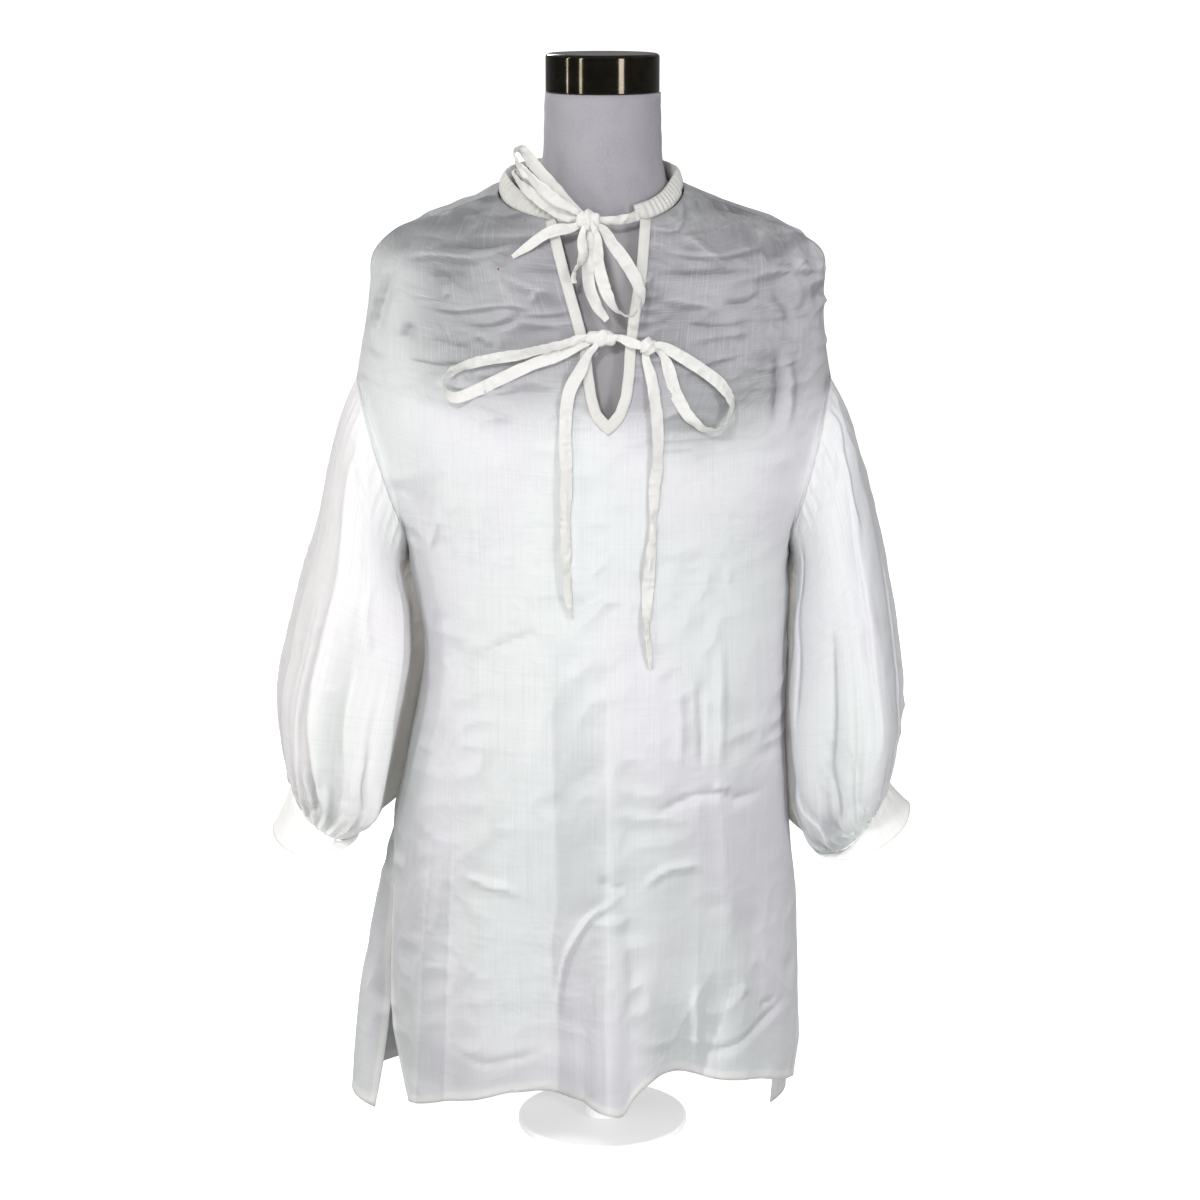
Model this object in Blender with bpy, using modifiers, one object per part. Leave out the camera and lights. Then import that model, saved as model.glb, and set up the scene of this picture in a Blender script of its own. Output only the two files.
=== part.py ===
"""A sheer cotton tunic with gathered sleeves, a neck drawstring and a chest tie, standing
on a limbless dress form. Metres, +Z up, the garment's front faces -Y and its right-hand
side as seen from the front is +X. The origin is under the middle of the base plate."""

import math
from collections import namedtuple

import bpy
import numpy as np
from mathutils import Vector

# Cloth and seams
CLOTH_WALL = 0.0011
BAND_WALL = 0.0016  # neck band and cuffs, folded cloth
CUFF_START = 0.07  # share of the cuff left clear for the sleeve's gathers
TAPE_WALL = 0.0008
SEAM_GAP = 0.0003
TAPE_WIDTH = 0.011
TAPE_PINCH = 0.4  # of its width, where a knot holds it
TAPE_PINCH_STEPS = 3  # along the tape, until it is full width
KNOT_GAP = 0.0009  # from a knot to the middle of a tape's end
BINDING_WIDTH = 0.0095
BINDING_TIP = 0.0130  # below the keyhole's tip
BINDING_NOTCH = 0.0008
NECK_BAND_HEIGHT = 0.020
CUFF_BUTTON_RADIUS = 0.0045
CUFF_BUTTON_HEIGHT = 0.002

# Mesh divisions
HALF_COLUMNS = 12  # front or back panel, centre to side
ARMHOLE_STEPS = 8  # underarm to shoulder, along one side of the armhole
FORM_COLUMNS = 32
FORM_SIDES = 48  # round pieces of the stand

# Stand
CAP_RADIUS = 0.0515
CAP_BOTTOM = 0.9925
CAP_HEIGHT = 0.0345
CAP_RIM_RADIUS = 0.004
CAP_DOME = 0.0012
POST_RADIUS = 0.016
PLATE_RADIUS = 0.082
PLATE_HEIGHT = 0.007
PLATE_BEVEL = 0.0015

# Keyhole opening: its two edges at each height, down to the tip
Slit = namedtuple("Slit", "height left right")
KEYHOLE = (
    Slit(0.713, 0.005, 0.005),
    Slit(0.735, -0.006, 0.017),
    Slit(0.775, -0.011, 0.020),
    Slit(0.800, -0.018, 0.023),
    Slit(0.841, -0.030, 0.030),
    Slit(0.885, -0.042, 0.034),
)
KEYHOLE_TIP = KEYHOLE[0]

# Sections of the body above the armholes, from the neck edge down to the sleeve heads:
# the side points on the shoulder line, then the middle of the front and of the back
Level = namedtuple("Level", "left_x left_z right_x right_z front_y front_z back_y back_z")
SHOULDER_LEVELS = (
    Level(-0.095, 0.902, 0.074, 0.905, -0.070, 0.880, 0.066, 0.915),
    Level(-0.118, 0.894, 0.105, 0.894, -0.078, 0.867, 0.074, 0.903),
    Level(-0.150, 0.882, 0.150, 0.878, -0.086, 0.852, 0.083, 0.888),
    Level(-0.190, 0.868, 0.183, 0.863, -0.094, 0.835, 0.091, 0.870),
    Level(-0.208, 0.850, 0.200, 0.850, -0.102, 0.815, 0.098, 0.845),
    Level(-0.212, 0.812, 0.202, 0.812, -0.110, 0.790, 0.104, 0.812),
    Level(-0.218, 0.778, 0.203, 0.778, -0.117, 0.760, 0.106, 0.772),
    Level(-0.222, 0.755, 0.206, 0.755, -0.121, 0.735, 0.106, 0.748),
)
# Sections from the underarms down to the tops of the side slits
WAIST_LEVELS = (
    Level(-0.180, 0.555, 0.173, 0.560, -0.128, 0.562, 0.104, 0.560),
    Level(-0.166, 0.500, 0.174, 0.500, -0.129, 0.500, 0.104, 0.500),
    Level(-0.166, 0.460, 0.173, 0.450, -0.130, 0.455, 0.106, 0.455),
    Level(-0.179, 0.404, 0.171, 0.404, -0.132, 0.404, 0.109, 0.404),
    Level(-0.189, 0.355, 0.174, 0.355, -0.134, 0.355, 0.112, 0.355),
    Level(-0.198, 0.311, 0.176, 0.311, -0.135, 0.311, 0.114, 0.311),
)
# The skirt below the slits, front and back apart: the slit edge on each side, the middle,
# and the depth of the section's centre, behind which a panel wraps round the side
Skirt = namedtuple("Skirt", "left_x left_y left_z right_x right_y right_z mid_y mid_z centre_y")
FRONT_SKIRT = (
    Skirt(-0.197, -0.012, 0.250, 0.183, -0.010, 0.250, -0.136, 0.250, 0.0),
    Skirt(-0.199, -0.022, 0.190, 0.185, -0.016, 0.190, -0.138, 0.190, 0.0),
    Skirt(-0.199, -0.030, 0.130, 0.186, -0.022, 0.130, -0.140, 0.130, 0.0),
    Skirt(-0.190, -0.042, 0.085, 0.187, -0.028, 0.095, -0.141, 0.095, 0.0),
    Skirt(-0.181, -0.050, 0.045, 0.182, -0.035, 0.060, -0.142, 0.062, 0.0),
)
BACK_SKIRT = (
    Skirt(-0.200, 0.002, 0.285, 0.172, 0.006, 0.285, 0.115, 0.285, 0.030),
    Skirt(-0.201, 0.002, 0.235, 0.170, 0.008, 0.235, 0.117, 0.235, 0.034),
    Skirt(-0.202, 0.000, 0.180, 0.170, 0.008, 0.180, 0.118, 0.180, 0.037),
    Skirt(-0.204, -0.001, 0.125, 0.169, 0.008, 0.125, 0.120, 0.125, 0.040),
    Skirt(-0.211, 0.000, 0.070, 0.168, 0.007, 0.075, 0.121, 0.080, 0.040),
    Skirt(-0.222, 0.004, 0.012, 0.164, 0.006, 0.016, 0.122, 0.040, 0.040),
)
# The front hem line from side to side: it dips at the pressed centre fold
HemPoint = namedtuple("HemPoint", "x height")
FRONT_HEM = (
    HemPoint(-0.181, 0.045),
    HemPoint(-0.110, 0.067),
    HemPoint(-0.063, 0.085),
    HemPoint(-0.023, 0.082),
    HemPoint(0.004, 0.062),
    HemPoint(0.028, 0.074),
    HemPoint(0.060, 0.094),
    HemPoint(0.084, 0.101),
    HemPoint(0.135, 0.086),
    HemPoint(0.182, 0.062),
)

# Folds that fall towards the hem: where each one sits, how wide and how far out it stands
# there, the height at which it starts, and its drift sideways over that height
Fold = namedtuple("Fold", "x width out top drift")
FRONT_FOLDS = (
    Fold(0.004, 0.022, 0.009, 0.520, 0.000),
    Fold(-0.050, 0.030, -0.006, 0.500, 0.004),
    Fold(-0.120, 0.034, 0.008, 0.460, -0.030),
    Fold(0.066, 0.034, -0.007, 0.400, -0.020),
    Fold(0.125, 0.032, 0.008, 0.430, 0.020),
)
BACK_FOLDS = (
    Fold(-0.135, 0.036, 0.010, 0.480, 0.020),
    Fold(-0.060, 0.034, -0.009, 0.520, -0.010),
    Fold(0.010, 0.034, 0.010, 0.560, 0.010),
    Fold(0.085, 0.036, -0.008, 0.470, 0.015),
    Fold(0.135, 0.030, 0.008, 0.440, -0.010),
)

# Armholes, one slanted oval each, and the sleeves' sections down to the cuff seams: the
# outer and the inner point of each ring seen from the front, and its half depth
Ring = namedtuple("Ring", "outer_x outer_z inner_x inner_z depth")
LEFT_SLEEVE = (
    Ring(-0.226, 0.733, -0.179, 0.582, 0.058),
    Ring(-0.246, 0.684, -0.185, 0.556, 0.070),
    Ring(-0.265, 0.605, -0.174, 0.515, 0.079),
    Ring(-0.289, 0.525, -0.171, 0.468, 0.085),
    Ring(-0.308, 0.440, -0.181, 0.416, 0.086),
    Ring(-0.307, 0.390, -0.194, 0.362, 0.078),
    Ring(-0.303, 0.360, -0.209, 0.322, 0.062),
    Ring(-0.300, 0.350, -0.232, 0.301, 0.045),
    Ring(-0.296, 0.345, -0.252, 0.292, 0.032),
)
RIGHT_SLEEVE = (
    Ring(0.210, 0.733, 0.172, 0.582, 0.058),
    Ring(0.229, 0.695, 0.180, 0.556, 0.070),
    Ring(0.252, 0.620, 0.179, 0.518, 0.079),
    Ring(0.272, 0.530, 0.178, 0.468, 0.085),
    Ring(0.286, 0.430, 0.176, 0.400, 0.085),
    Ring(0.283, 0.385, 0.179, 0.332, 0.076),
    Ring(0.278, 0.360, 0.190, 0.297, 0.060),
    Ring(0.274, 0.350, 0.206, 0.281, 0.045),
    Ring(0.270, 0.345, 0.222, 0.281, 0.032),
)
LEFT_CUFF_MOUTH = Ring(-0.312, 0.317, -0.264, 0.269, 0.033)
RIGHT_CUFF_MOUTH = Ring(0.288, 0.331, 0.234, 0.270, 0.036)

# Gathers and long folds of a sleeve: the angle round the ring (0 at the outer point, 90 at
# the front), the angle it takes up, how far it stands out, and where along the sleeve it
# begins and ends (0 at the armhole, 1 at the cuff)
Gather = namedtuple("Gather", "angle spread out start end")
SLEEVE_GATHERS = (
    Gather(20, 22, -0.006, 0.10, 1.00),
    Gather(62, 26, 0.006, 0.25, 1.00),
    Gather(100, 24, -0.007, 0.30, 1.00),
    Gather(140, 26, 0.005, 0.20, 1.00),
    Gather(215, 26, -0.006, 0.15, 1.00),
    Gather(262, 28, 0.006, 0.30, 1.00),
    Gather(310, 26, -0.006, 0.25, 1.00),
)

# The dress form: half width, then the depth to the front and to the back at its middle
FormRing = namedtuple("FormRing", "side_x side_z front_y front_z back_y back_z")
FORM_RINGS = (
    FormRing(0.0527, 0.9922, -0.0527, 0.9922, 0.0527, 0.9922),
    FormRing(0.0535, 0.9600, -0.0530, 0.9550, 0.0535, 0.9600),
    FormRing(0.0555, 0.9280, -0.0540, 0.9150, 0.0550, 0.9340),
    FormRing(0.0610, 0.9090, -0.0570, 0.8920, 0.0575, 0.9190),
    FormRing(0.0710, 0.9015, -0.0620, 0.8790, 0.0600, 0.9090),
    FormRing(0.1040, 0.8936, -0.0740, 0.8660, 0.0710, 0.8990),
    FormRing(0.1485, 0.8776, -0.0820, 0.8510, 0.0800, 0.8850),
    FormRing(0.1790, 0.8621, -0.0900, 0.8340, 0.0880, 0.8670),
    FormRing(0.1940, 0.8480, -0.0980, 0.8140, 0.0950, 0.8420),
    FormRing(0.1950, 0.8120, -0.1060, 0.7890, 0.1010, 0.8080),
    FormRing(0.1880, 0.7750, -0.1140, 0.7540, 0.1030, 0.7680),
    FormRing(0.1720, 0.7300, -0.1190, 0.7120, 0.1030, 0.7240),
    FormRing(0.1560, 0.6700, -0.1180, 0.6620, 0.0990, 0.6700),
    FormRing(0.1430, 0.6000, -0.1060, 0.5980, 0.0910, 0.6000),
    FormRing(0.1300, 0.5300, -0.0930, 0.5300, 0.0840, 0.5300),
    FormRing(0.1280, 0.4800, -0.0900, 0.4800, 0.0850, 0.4800),
    FormRing(0.1400, 0.4200, -0.0970, 0.4200, 0.0950, 0.4200),
    FormRing(0.1520, 0.3600, -0.1040, 0.3600, 0.1020, 0.3600),
    FormRing(0.1560, 0.3000, -0.1060, 0.3000, 0.1040, 0.3000),
    FormRing(0.1500, 0.2500, -0.1010, 0.2500, 0.1000, 0.2500),
)

# Knots: centre seen from the front, lift off the front, and half sizes across, deep, high
Knot = namedtuple("Knot", "x z lift across deep high")
KNOTS = {
    "neck_tie_knot": Knot(-0.0130, 0.8850, 0.0070, 0.0105, 0.0060, 0.0085),
    "chest_tie_knot": Knot(-0.0010, 0.7850, 0.0050, 0.0150, 0.0055, 0.0075),
    "chest_tie_knot_right": Knot(0.0400, 0.7785, 0.0063, 0.0070, 0.0055, 0.0075),
}
# Ties: the knot that holds each end, if one does, and the tape's centre line seen from the
# front, with how far its nearer edge stands off the front and how far its face is turned
# about its own line
Tie = namedtuple("Tie", "start_knot end_knot stops")
Stop = namedtuple("Stop", "x z lift turn")
TIES = {
    "neck_tie_bridge": Tie(None, "neck_tie_knot", (
        Stop(0.0323, 0.8880, -0.002, 0),
        Stop(0.0200, 0.8850, 0.001, 20),
        Stop(0.0080, 0.8840, 0.004, 15),
        Stop(-0.0010, 0.8850, 0.006, 0),
    )),
    "neck_tie_loop_upper": Tie("neck_tie_knot", "neck_tie_knot", (
        Stop(-0.0250, 0.8950, 0.009, 0),
        Stop(-0.0390, 0.9100, 0.012, 10),
        Stop(-0.0590, 0.9310, 0.013, 15),
        Stop(-0.0710, 0.9450, 0.014, 50),
        Stop(-0.0780, 0.9440, 0.020, 90),
        Stop(-0.0740, 0.9330, 0.025, 120),
        Stop(-0.0600, 0.9200, 0.024, 150),
        Stop(-0.0430, 0.9045, 0.020, 160),
        Stop(-0.0270, 0.8950, 0.018, 170),
    )),
    "neck_tie_loop_lower": Tie("neck_tie_knot", "neck_tie_knot", (
        Stop(-0.0270, 0.8860, 0.006, 0),
        Stop(-0.0430, 0.8930, 0.007, 10),
        Stop(-0.0620, 0.9060, 0.007, 25),
        Stop(-0.0770, 0.9190, 0.005, 70),
        Stop(-0.0780, 0.9260, 0.000, 90),
        Stop(-0.0680, 0.9200, -0.003, 60),
        Stop(-0.0480, 0.9040, -0.002, 20),
        Stop(-0.0280, 0.8920, 0.001, 10),
    )),
    "neck_tie_tail_short": Tie("neck_tie_knot", None, (
        Stop(-0.0280, 0.8780, 0.014, 0),
        Stop(-0.0400, 0.8770, 0.013, 10),
        Stop(-0.0520, 0.8720, 0.010, 0),
        Stop(-0.0660, 0.8620, 0.006, 0),
        Stop(-0.0800, 0.8530, 0.004, 0),
    )),
    "neck_tie_tail_hooked": Tie("neck_tie_knot", None, (
        Stop(-0.0180, 0.8720, 0.006, 0),
        Stop(-0.0180, 0.8640, 0.007, 0),
        Stop(-0.0170, 0.8560, 0.006, 20),
        Stop(-0.0200, 0.8480, 0.007, 55),
        Stop(-0.0250, 0.8420, 0.008, 60),
        Stop(-0.0250, 0.8320, 0.007, 30),
    )),
    "neck_tie_loop_right": Tie("neck_tie_knot", "neck_tie_knot", (
        Stop(0.0010, 0.8770, 0.009, 30),
        Stop(0.0085, 0.8660, 0.011, 25),
        Stop(0.0200, 0.8510, 0.013, 10),
        Stop(0.0310, 0.8320, 0.014, 20),
        Stop(0.0340, 0.8170, 0.014, 60),
        Stop(0.0260, 0.8060, 0.018, 80),
        Stop(0.0130, 0.8110, 0.022, 60),
        Stop(0.0030, 0.8270, 0.022, 25),
        Stop(-0.0030, 0.8480, 0.019, 20),
        Stop(-0.0050, 0.8720, 0.018, 30),
    )),
    "neck_tie_tail_long": Tie("neck_tie_knot", None, (
        Stop(-0.0110, 0.8720, 0.001, 5),
        Stop(-0.0130, 0.8520, 0.001, 8),
        Stop(-0.0120, 0.8300, 0.001, 12),
        Stop(-0.0050, 0.8120, 0.002, 10),
        Stop(0.0040, 0.8000, 0.002, 0),
    )),
    "chest_tie_bridge": Tie("chest_tie_knot", "chest_tie_knot_right", (
        Stop(0.0150, 0.7855, 0.005, 20),
        Stop(0.0220, 0.7830, 0.006, 10),
        Stop(0.0310, 0.7800, 0.006, 15),
    )),
    "chest_tie_loop_left": Tie("chest_tie_knot", "chest_tie_knot", (
        Stop(-0.0180, 0.7860, 0.007, 10),
        Stop(-0.0370, 0.7800, 0.007, 15),
        Stop(-0.0720, 0.7715, 0.006, 30),
        Stop(-0.1080, 0.7640, 0.006, 20),
        Stop(-0.1310, 0.7560, 0.006, 40),
        Stop(-0.1410, 0.7430, 0.006, 75),
        Stop(-0.1330, 0.7310, 0.004, 40),
        Stop(-0.1170, 0.7350, 0.001, 10),
        Stop(-0.0900, 0.7485, 0.001, 10),
        Stop(-0.0640, 0.7610, 0.001, 20),
        Stop(-0.0370, 0.7710, 0.001, 15),
        Stop(-0.0190, 0.7790, 0.003, 10),
    )),
    "chest_tie_loop_right": Tie("chest_tie_knot_right", "chest_tie_knot_right", (
        Stop(0.0500, 0.7800, 0.008, 5),
        Stop(0.0640, 0.7725, 0.007, 15),
        Stop(0.0860, 0.7585, 0.006, 10),
        Stop(0.1050, 0.7430, 0.006, 20),
        Stop(0.1140, 0.7260, 0.006, 50),
        Stop(0.1090, 0.7090, 0.006, 80),
        Stop(0.0940, 0.7040, 0.006, 60),
        Stop(0.0770, 0.7160, 0.003, 15),
        Stop(0.0650, 0.7360, 0.001, 10),
        Stop(0.0590, 0.7560, 0.002, 10),
        Stop(0.0520, 0.7720, 0.003, 10),
    )),
    "chest_tie_tail_left": Tie("chest_tie_knot", None, (
        Stop(-0.0120, 0.7720, 0.006, 0),
        Stop(-0.0190, 0.7590, 0.005, 0),
        Stop(-0.0295, 0.7380, 0.004, 0),
        Stop(-0.0330, 0.7060, 0.001, 0),
        Stop(-0.0320, 0.6620, 0.001, 20),
        Stop(-0.0330, 0.6170, 0.001, 30),
        Stop(-0.0320, 0.5760, 0.001, 35),
        Stop(-0.0310, 0.5530, 0.001, 20),
        Stop(-0.0280, 0.5350, 0.001, 50),
    )),
    "chest_tie_tail_right": Tie("chest_tie_knot_right", None, (
        Stop(0.0380, 0.7680, 0.003, 0),
        Stop(0.0430, 0.7500, 0.001, 10),
        Stop(0.0480, 0.7160, 0.001, 20),
        Stop(0.0490, 0.6840, 0.001, 30),
        Stop(0.0460, 0.6530, 0.001, 10),
        Stop(0.0450, 0.6170, 0.001, 30),
        Stop(0.0420, 0.5810, 0.001, 20),
        Stop(0.0400, 0.5530, 0.001, 0),
        Stop(0.0400, 0.5260, 0.001, 60),
        Stop(0.0430, 0.4880, 0.001, 10),
    )),
}


def clear_scene():
    for obj in list(bpy.data.objects):
        bpy.data.objects.remove(obj, do_unlink=True)


def make_collection():
    collection = bpy.data.collections.new("tunic_on_form")
    bpy.context.scene.collection.children.link(collection)
    return collection


def make_material(name, colour, roughness, metallic=0.0):
    material = bpy.data.materials.new(name)
    material.use_nodes = True
    shader = material.node_tree.nodes["Principled BSDF"]
    shader.inputs["Base Color"].default_value = (*colour, 1.0)
    shader.inputs["Roughness"].default_value = roughness
    shader.inputs["Metallic"].default_value = metallic
    return material


def add_object(name, verts, faces, material, collection):
    """A named object from points and faces, shaded smooth."""
    mesh = bpy.data.meshes.new(name)
    mesh.from_pydata([tuple(vert) for vert in verts], [], faces)
    mesh.shade_smooth()
    mesh.materials.append(material)
    obj = bpy.data.objects.new(name, mesh)
    collection.objects.link(obj)
    return obj


def give_wall(obj, thickness, offset):
    """Thickens an open surface: offset 1 keeps it as the inside, 0 as the middle."""
    wall = obj.modifiers.new("Wall", "SOLIDIFY")
    wall.thickness = thickness
    wall.offset = offset


def eased(share):
    """0 to 1 with soft ends."""
    share = min(max(share, 0.0), 1.0)
    return share * share * (3.0 - 2.0 * share)


def bump(distance, width):
    """1 at the middle of a fold, 0 at its width, with round shoulders."""
    return math.cos(0.5 * math.pi * min(abs(distance) / width, 1.0)) ** 2


def ring_point(ring, angle):
    """A point of a sleeve ring: angle 0 at its outer point, 90 degrees at its front."""
    outer = Vector((ring.outer_x, 0.0, ring.outer_z))
    inner = Vector((ring.inner_x, 0.0, ring.inner_z))
    middle = (outer + inner) / 2
    point = middle + (outer - middle) * math.cos(angle)
    point.y = -ring.depth * math.sin(angle)
    return point


# Body sections


Section = namedtuple("Section", "left middle right centre_y")


def level_section(level, side):
    """The front (side -1) or back (side 1) half of a level, ending on the side seams."""
    seam = side * SEAM_GAP / 2
    left = (level.left_x, seam, level.left_z)
    right = (level.right_x, seam, level.right_z)
    if side < 0:
        middle = (KEYHOLE_TIP.left, level.front_y, level.front_z)
    else:
        middle = (0.0, level.back_y, level.back_z)
    return Section(left, middle, right, 0.0)


def skirt_section(skirt, side):
    left = (skirt.left_x, skirt.left_y, skirt.left_z)
    right = (skirt.right_x, skirt.right_y, skirt.right_z)
    middle = (KEYHOLE_TIP.left if side < 0 else 0.0, skirt.mid_y, skirt.mid_z)
    return Section(left, middle, right, skirt.centre_y)


def armhole_sections(side):
    """The levels beside the armholes, from the sleeve heads down to the underarms."""
    top_middle = 0.713 if side < 0 else 0.724
    sections = []
    for step in range(ARMHOLE_STEPS + 1):
        share = step / ARMHOLE_STEPS
        angle = math.pi * share
        left = ring_point(LEFT_SLEEVE[0], angle)
        right = ring_point(RIGHT_SLEEVE[0], angle)
        for point in (left, right):
            point.y = side * max(abs(point.y), SEAM_GAP / 2)
        middle_z = top_middle + (0.590 - top_middle) * share
        if side < 0:
            middle = (KEYHOLE_TIP.left, -0.1245 - 0.0035 * share, middle_z)
        else:
            middle = (0.0, 0.106 - 0.002 * share, middle_z)
        sections.append(Section(tuple(left), middle, tuple(right), 0.0))
    return sections


def panel_sections(side):
    """All sections of a panel, from the hem up to the neck edge."""
    skirt = FRONT_SKIRT if side < 0 else BACK_SKIRT
    sections = [level_section(level, side) for level in SHOULDER_LEVELS]
    sections += armhole_sections(side)
    sections += [level_section(level, side) for level in WAIST_LEVELS]
    sections += [skirt_section(row, side) for row in skirt]
    return sections[::-1]


def half_shape(section, edge):
    """The half width and the end angle of one half of a section."""
    depth = section.middle[1] - section.centre_y
    end_angle = math.acos((edge[1] - section.centre_y) / depth)
    half_width = (edge[0] - section.middle[0]) / math.sin(end_angle)
    return half_width, end_angle


def section_point(section, edge, share):
    """A point of one half of a section: share 0 in the middle, 1 at the edge."""
    half_width, end_angle = half_shape(section, edge)
    angle = end_angle * share
    depth = section.middle[1] - section.centre_y
    rise = (1 - math.cos(angle)) / (1 - math.cos(end_angle))
    return Vector((
        section.middle[0] + half_width * math.sin(angle),
        section.centre_y + depth * math.cos(angle),
        section.middle[2] + (edge[2] - section.middle[2]) * rise,
    ))


def share_at(section, edge, x):
    """How far round a half section the given x lies."""
    half_width, end_angle = half_shape(section, edge)
    sine = min(max((x - section.middle[0]) / half_width, 0.0), 1.0)
    return math.asin(sine) / end_angle


def keyhole_edge(height, side_name):
    heights = [slit.height for slit in KEYHOLE]
    places = [getattr(slit, side_name) for slit in KEYHOLE]
    return float(np.interp(height, heights, places))


def add_folds(point, folds, side):
    """Moves a panel's point out or in where a fold passes it."""
    out = 0.0
    for fold in folds:
        fall = (fold.top - point.z) / fold.top
        if fall > 0.0:
            middle = fold.x - fold.drift * (1.0 - fall)
            out += fold.out * eased(fall * 1.2) * bump(point.x - middle, fold.width)
    return point + Vector((0.0, side * out, 0.0))


def front_hem_height(x):
    return float(np.interp(x, [p.x for p in FRONT_HEM], [p.height for p in FRONT_HEM]))


def settle_on_hem(point, section):
    """Brings the skirt's rows bit by bit to the hem line."""
    top, hem = FRONT_SKIRT[0].mid_z, FRONT_SKIRT[-1].mid_z
    fall = eased((top - section.middle[2]) / (top - hem))
    sag = point.z - section.middle[2]
    point.z += fall * (front_hem_height(point.x) - hem - sag)


def front_row(section):
    """One row of the front, as its left and its right half, each centre outwards."""
    halves = []
    for edge, side_name in ((section.left, "left"), (section.right, "right")):
        start = 0.0
        if section.middle[2] > KEYHOLE_TIP.height + 0.001:
            edge_x = keyhole_edge(section.middle[2], side_name)
            start = share_at(section, edge, edge_x)
        row = []
        for column in range(HALF_COLUMNS + 1):
            share = start + (1.0 - start) * column / HALF_COLUMNS
            point = add_folds(section_point(section, edge, share), FRONT_FOLDS, -1)
            settle_on_hem(point, section)
            row.append(point)
        halves.append(row)
    return halves


def make_front(material, collection):
    verts, faces = [], []
    index_rows = []
    for section in panel_sections(-1):
        left, right = front_row(section)
        left_index = list(range(len(verts), len(verts) + len(left)))
        verts += left
        if section.middle[2] > KEYHOLE_TIP.height + 0.001:
            right_index = list(range(len(verts), len(verts) + len(right)))
            verts += right
        else:
            right_index = [left_index[0]]
            right_index += list(range(len(verts), len(verts) + len(right) - 1))
            verts += right[1:]
        index_rows.append((left_index, right_index))
    for below, above in zip(index_rows, index_rows[1:]):
        for column in range(HALF_COLUMNS):
            low, high = below[0], above[0]
            faces.append((low[column + 1], low[column], high[column], high[column + 1]))
            low, high = below[1], above[1]
            faces.append((low[column], low[column + 1], high[column + 1], high[column]))
    obj = add_object("front_panel", verts, faces, material, collection)
    give_wall(obj, CLOTH_WALL, 1.0)
    return obj, index_rows


def back_row(section):
    row = [section_point(section, section.left, 1 - step / HALF_COLUMNS)
           for step in range(HALF_COLUMNS)]
    row += [section_point(section, section.right, step / HALF_COLUMNS)
            for step in range(HALF_COLUMNS + 1)]
    return [add_folds(point, BACK_FOLDS, 1) for point in row]


def make_back(material, collection):
    rows = [back_row(section) for section in panel_sections(1)]
    verts, faces = loft(rows, closed=False)
    faces = [face[::-1] for face in faces]
    obj = add_object("back_panel", verts, faces, material, collection)
    give_wall(obj, CLOTH_WALL, 1.0)


def loft(rows, closed):
    """Points and faces between rows of equal length."""
    width = len(rows[0])
    verts = [point for row in rows for point in row]
    faces = []
    for low in range(len(rows) - 1):
        for column in range(width if closed else width - 1):
            after = (column + 1) % width
            faces.append((low * width + column, low * width + after,
                          (low + 1) * width + after, (low + 1) * width + column))
    return verts, faces


# Sleeves and cuffs


def sleeve_row(ring, along):
    """One ring of a sleeve with its gathers, `along` going from 0 at the armhole to 1."""
    row = []
    middle = (ring_point(ring, 0.0) + ring_point(ring, math.pi)) / 2
    for step in range(2 * ARMHOLE_STEPS):
        angle = math.pi * step / ARMHOLE_STEPS
        point = ring_point(ring, angle)
        out = 0.0
        for gather in SLEEVE_GATHERS:
            if gather.start < along < gather.end:
                share = (along - gather.start) / (gather.end - gather.start)
                turn = (math.degrees(angle) - gather.angle + 180) % 360 - 180
                out += gather.out * math.sin(math.pi * share) * bump(turn, gather.spread)
        point += (point - middle).normalized() * out
        row.append(point)
    return row


def clear_of_armhole(point, after, step, side):
    """Sets a sleeve head's point off the panels' edge, most of all under the arm, where
    the sleeve folds back against the body."""
    down = (after - point).normalized() * (SEAM_GAP + 0.7 * CLOTH_WALL)
    fold = 1.15 * (1 - math.cos(math.pi * step / ARMHOLE_STEPS))
    return point + down + Vector((side * CLOTH_WALL * fold, 0.0, 0.0))


def make_sleeve(name, rings, side, material, collection):
    """The first ring stands just clear of the panels' edges, the last of the cuff's."""
    rows = []
    for number, ring in enumerate(rings):
        row = sleeve_row(ring, number / (len(rings) - 1))
        rows.append(row)
    rows[0] = [clear_of_armhole(point, after, step, side)
               for step, (point, after) in enumerate(zip(rows[0], rows[1]))]
    verts, faces = loft(rows, closed=True)
    if side < 0:
        faces = [face[::-1] for face in faces]
    obj = add_object(name, verts, faces, material, collection)
    give_wall(obj, CLOTH_WALL, 1.0)


def make_cuff(name, seam_ring, mouth_ring, side, material, collection):
    steps = 2 * ARMHOLE_STEPS
    rows = []
    for share in (CUFF_START, 0.5, 1.0):
        ring = Ring(*(a + (b - a) * share for a, b in zip(seam_ring, mouth_ring)))
        rows.append([ring_point(ring, 2 * math.pi * step / steps) for step in range(steps)])
    verts, faces = loft(rows, closed=True)
    if side < 0:
        faces = [face[::-1] for face in faces]
    obj = add_object(name, verts, faces, material, collection)
    give_wall(obj, BAND_WALL, 1.0)


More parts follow.
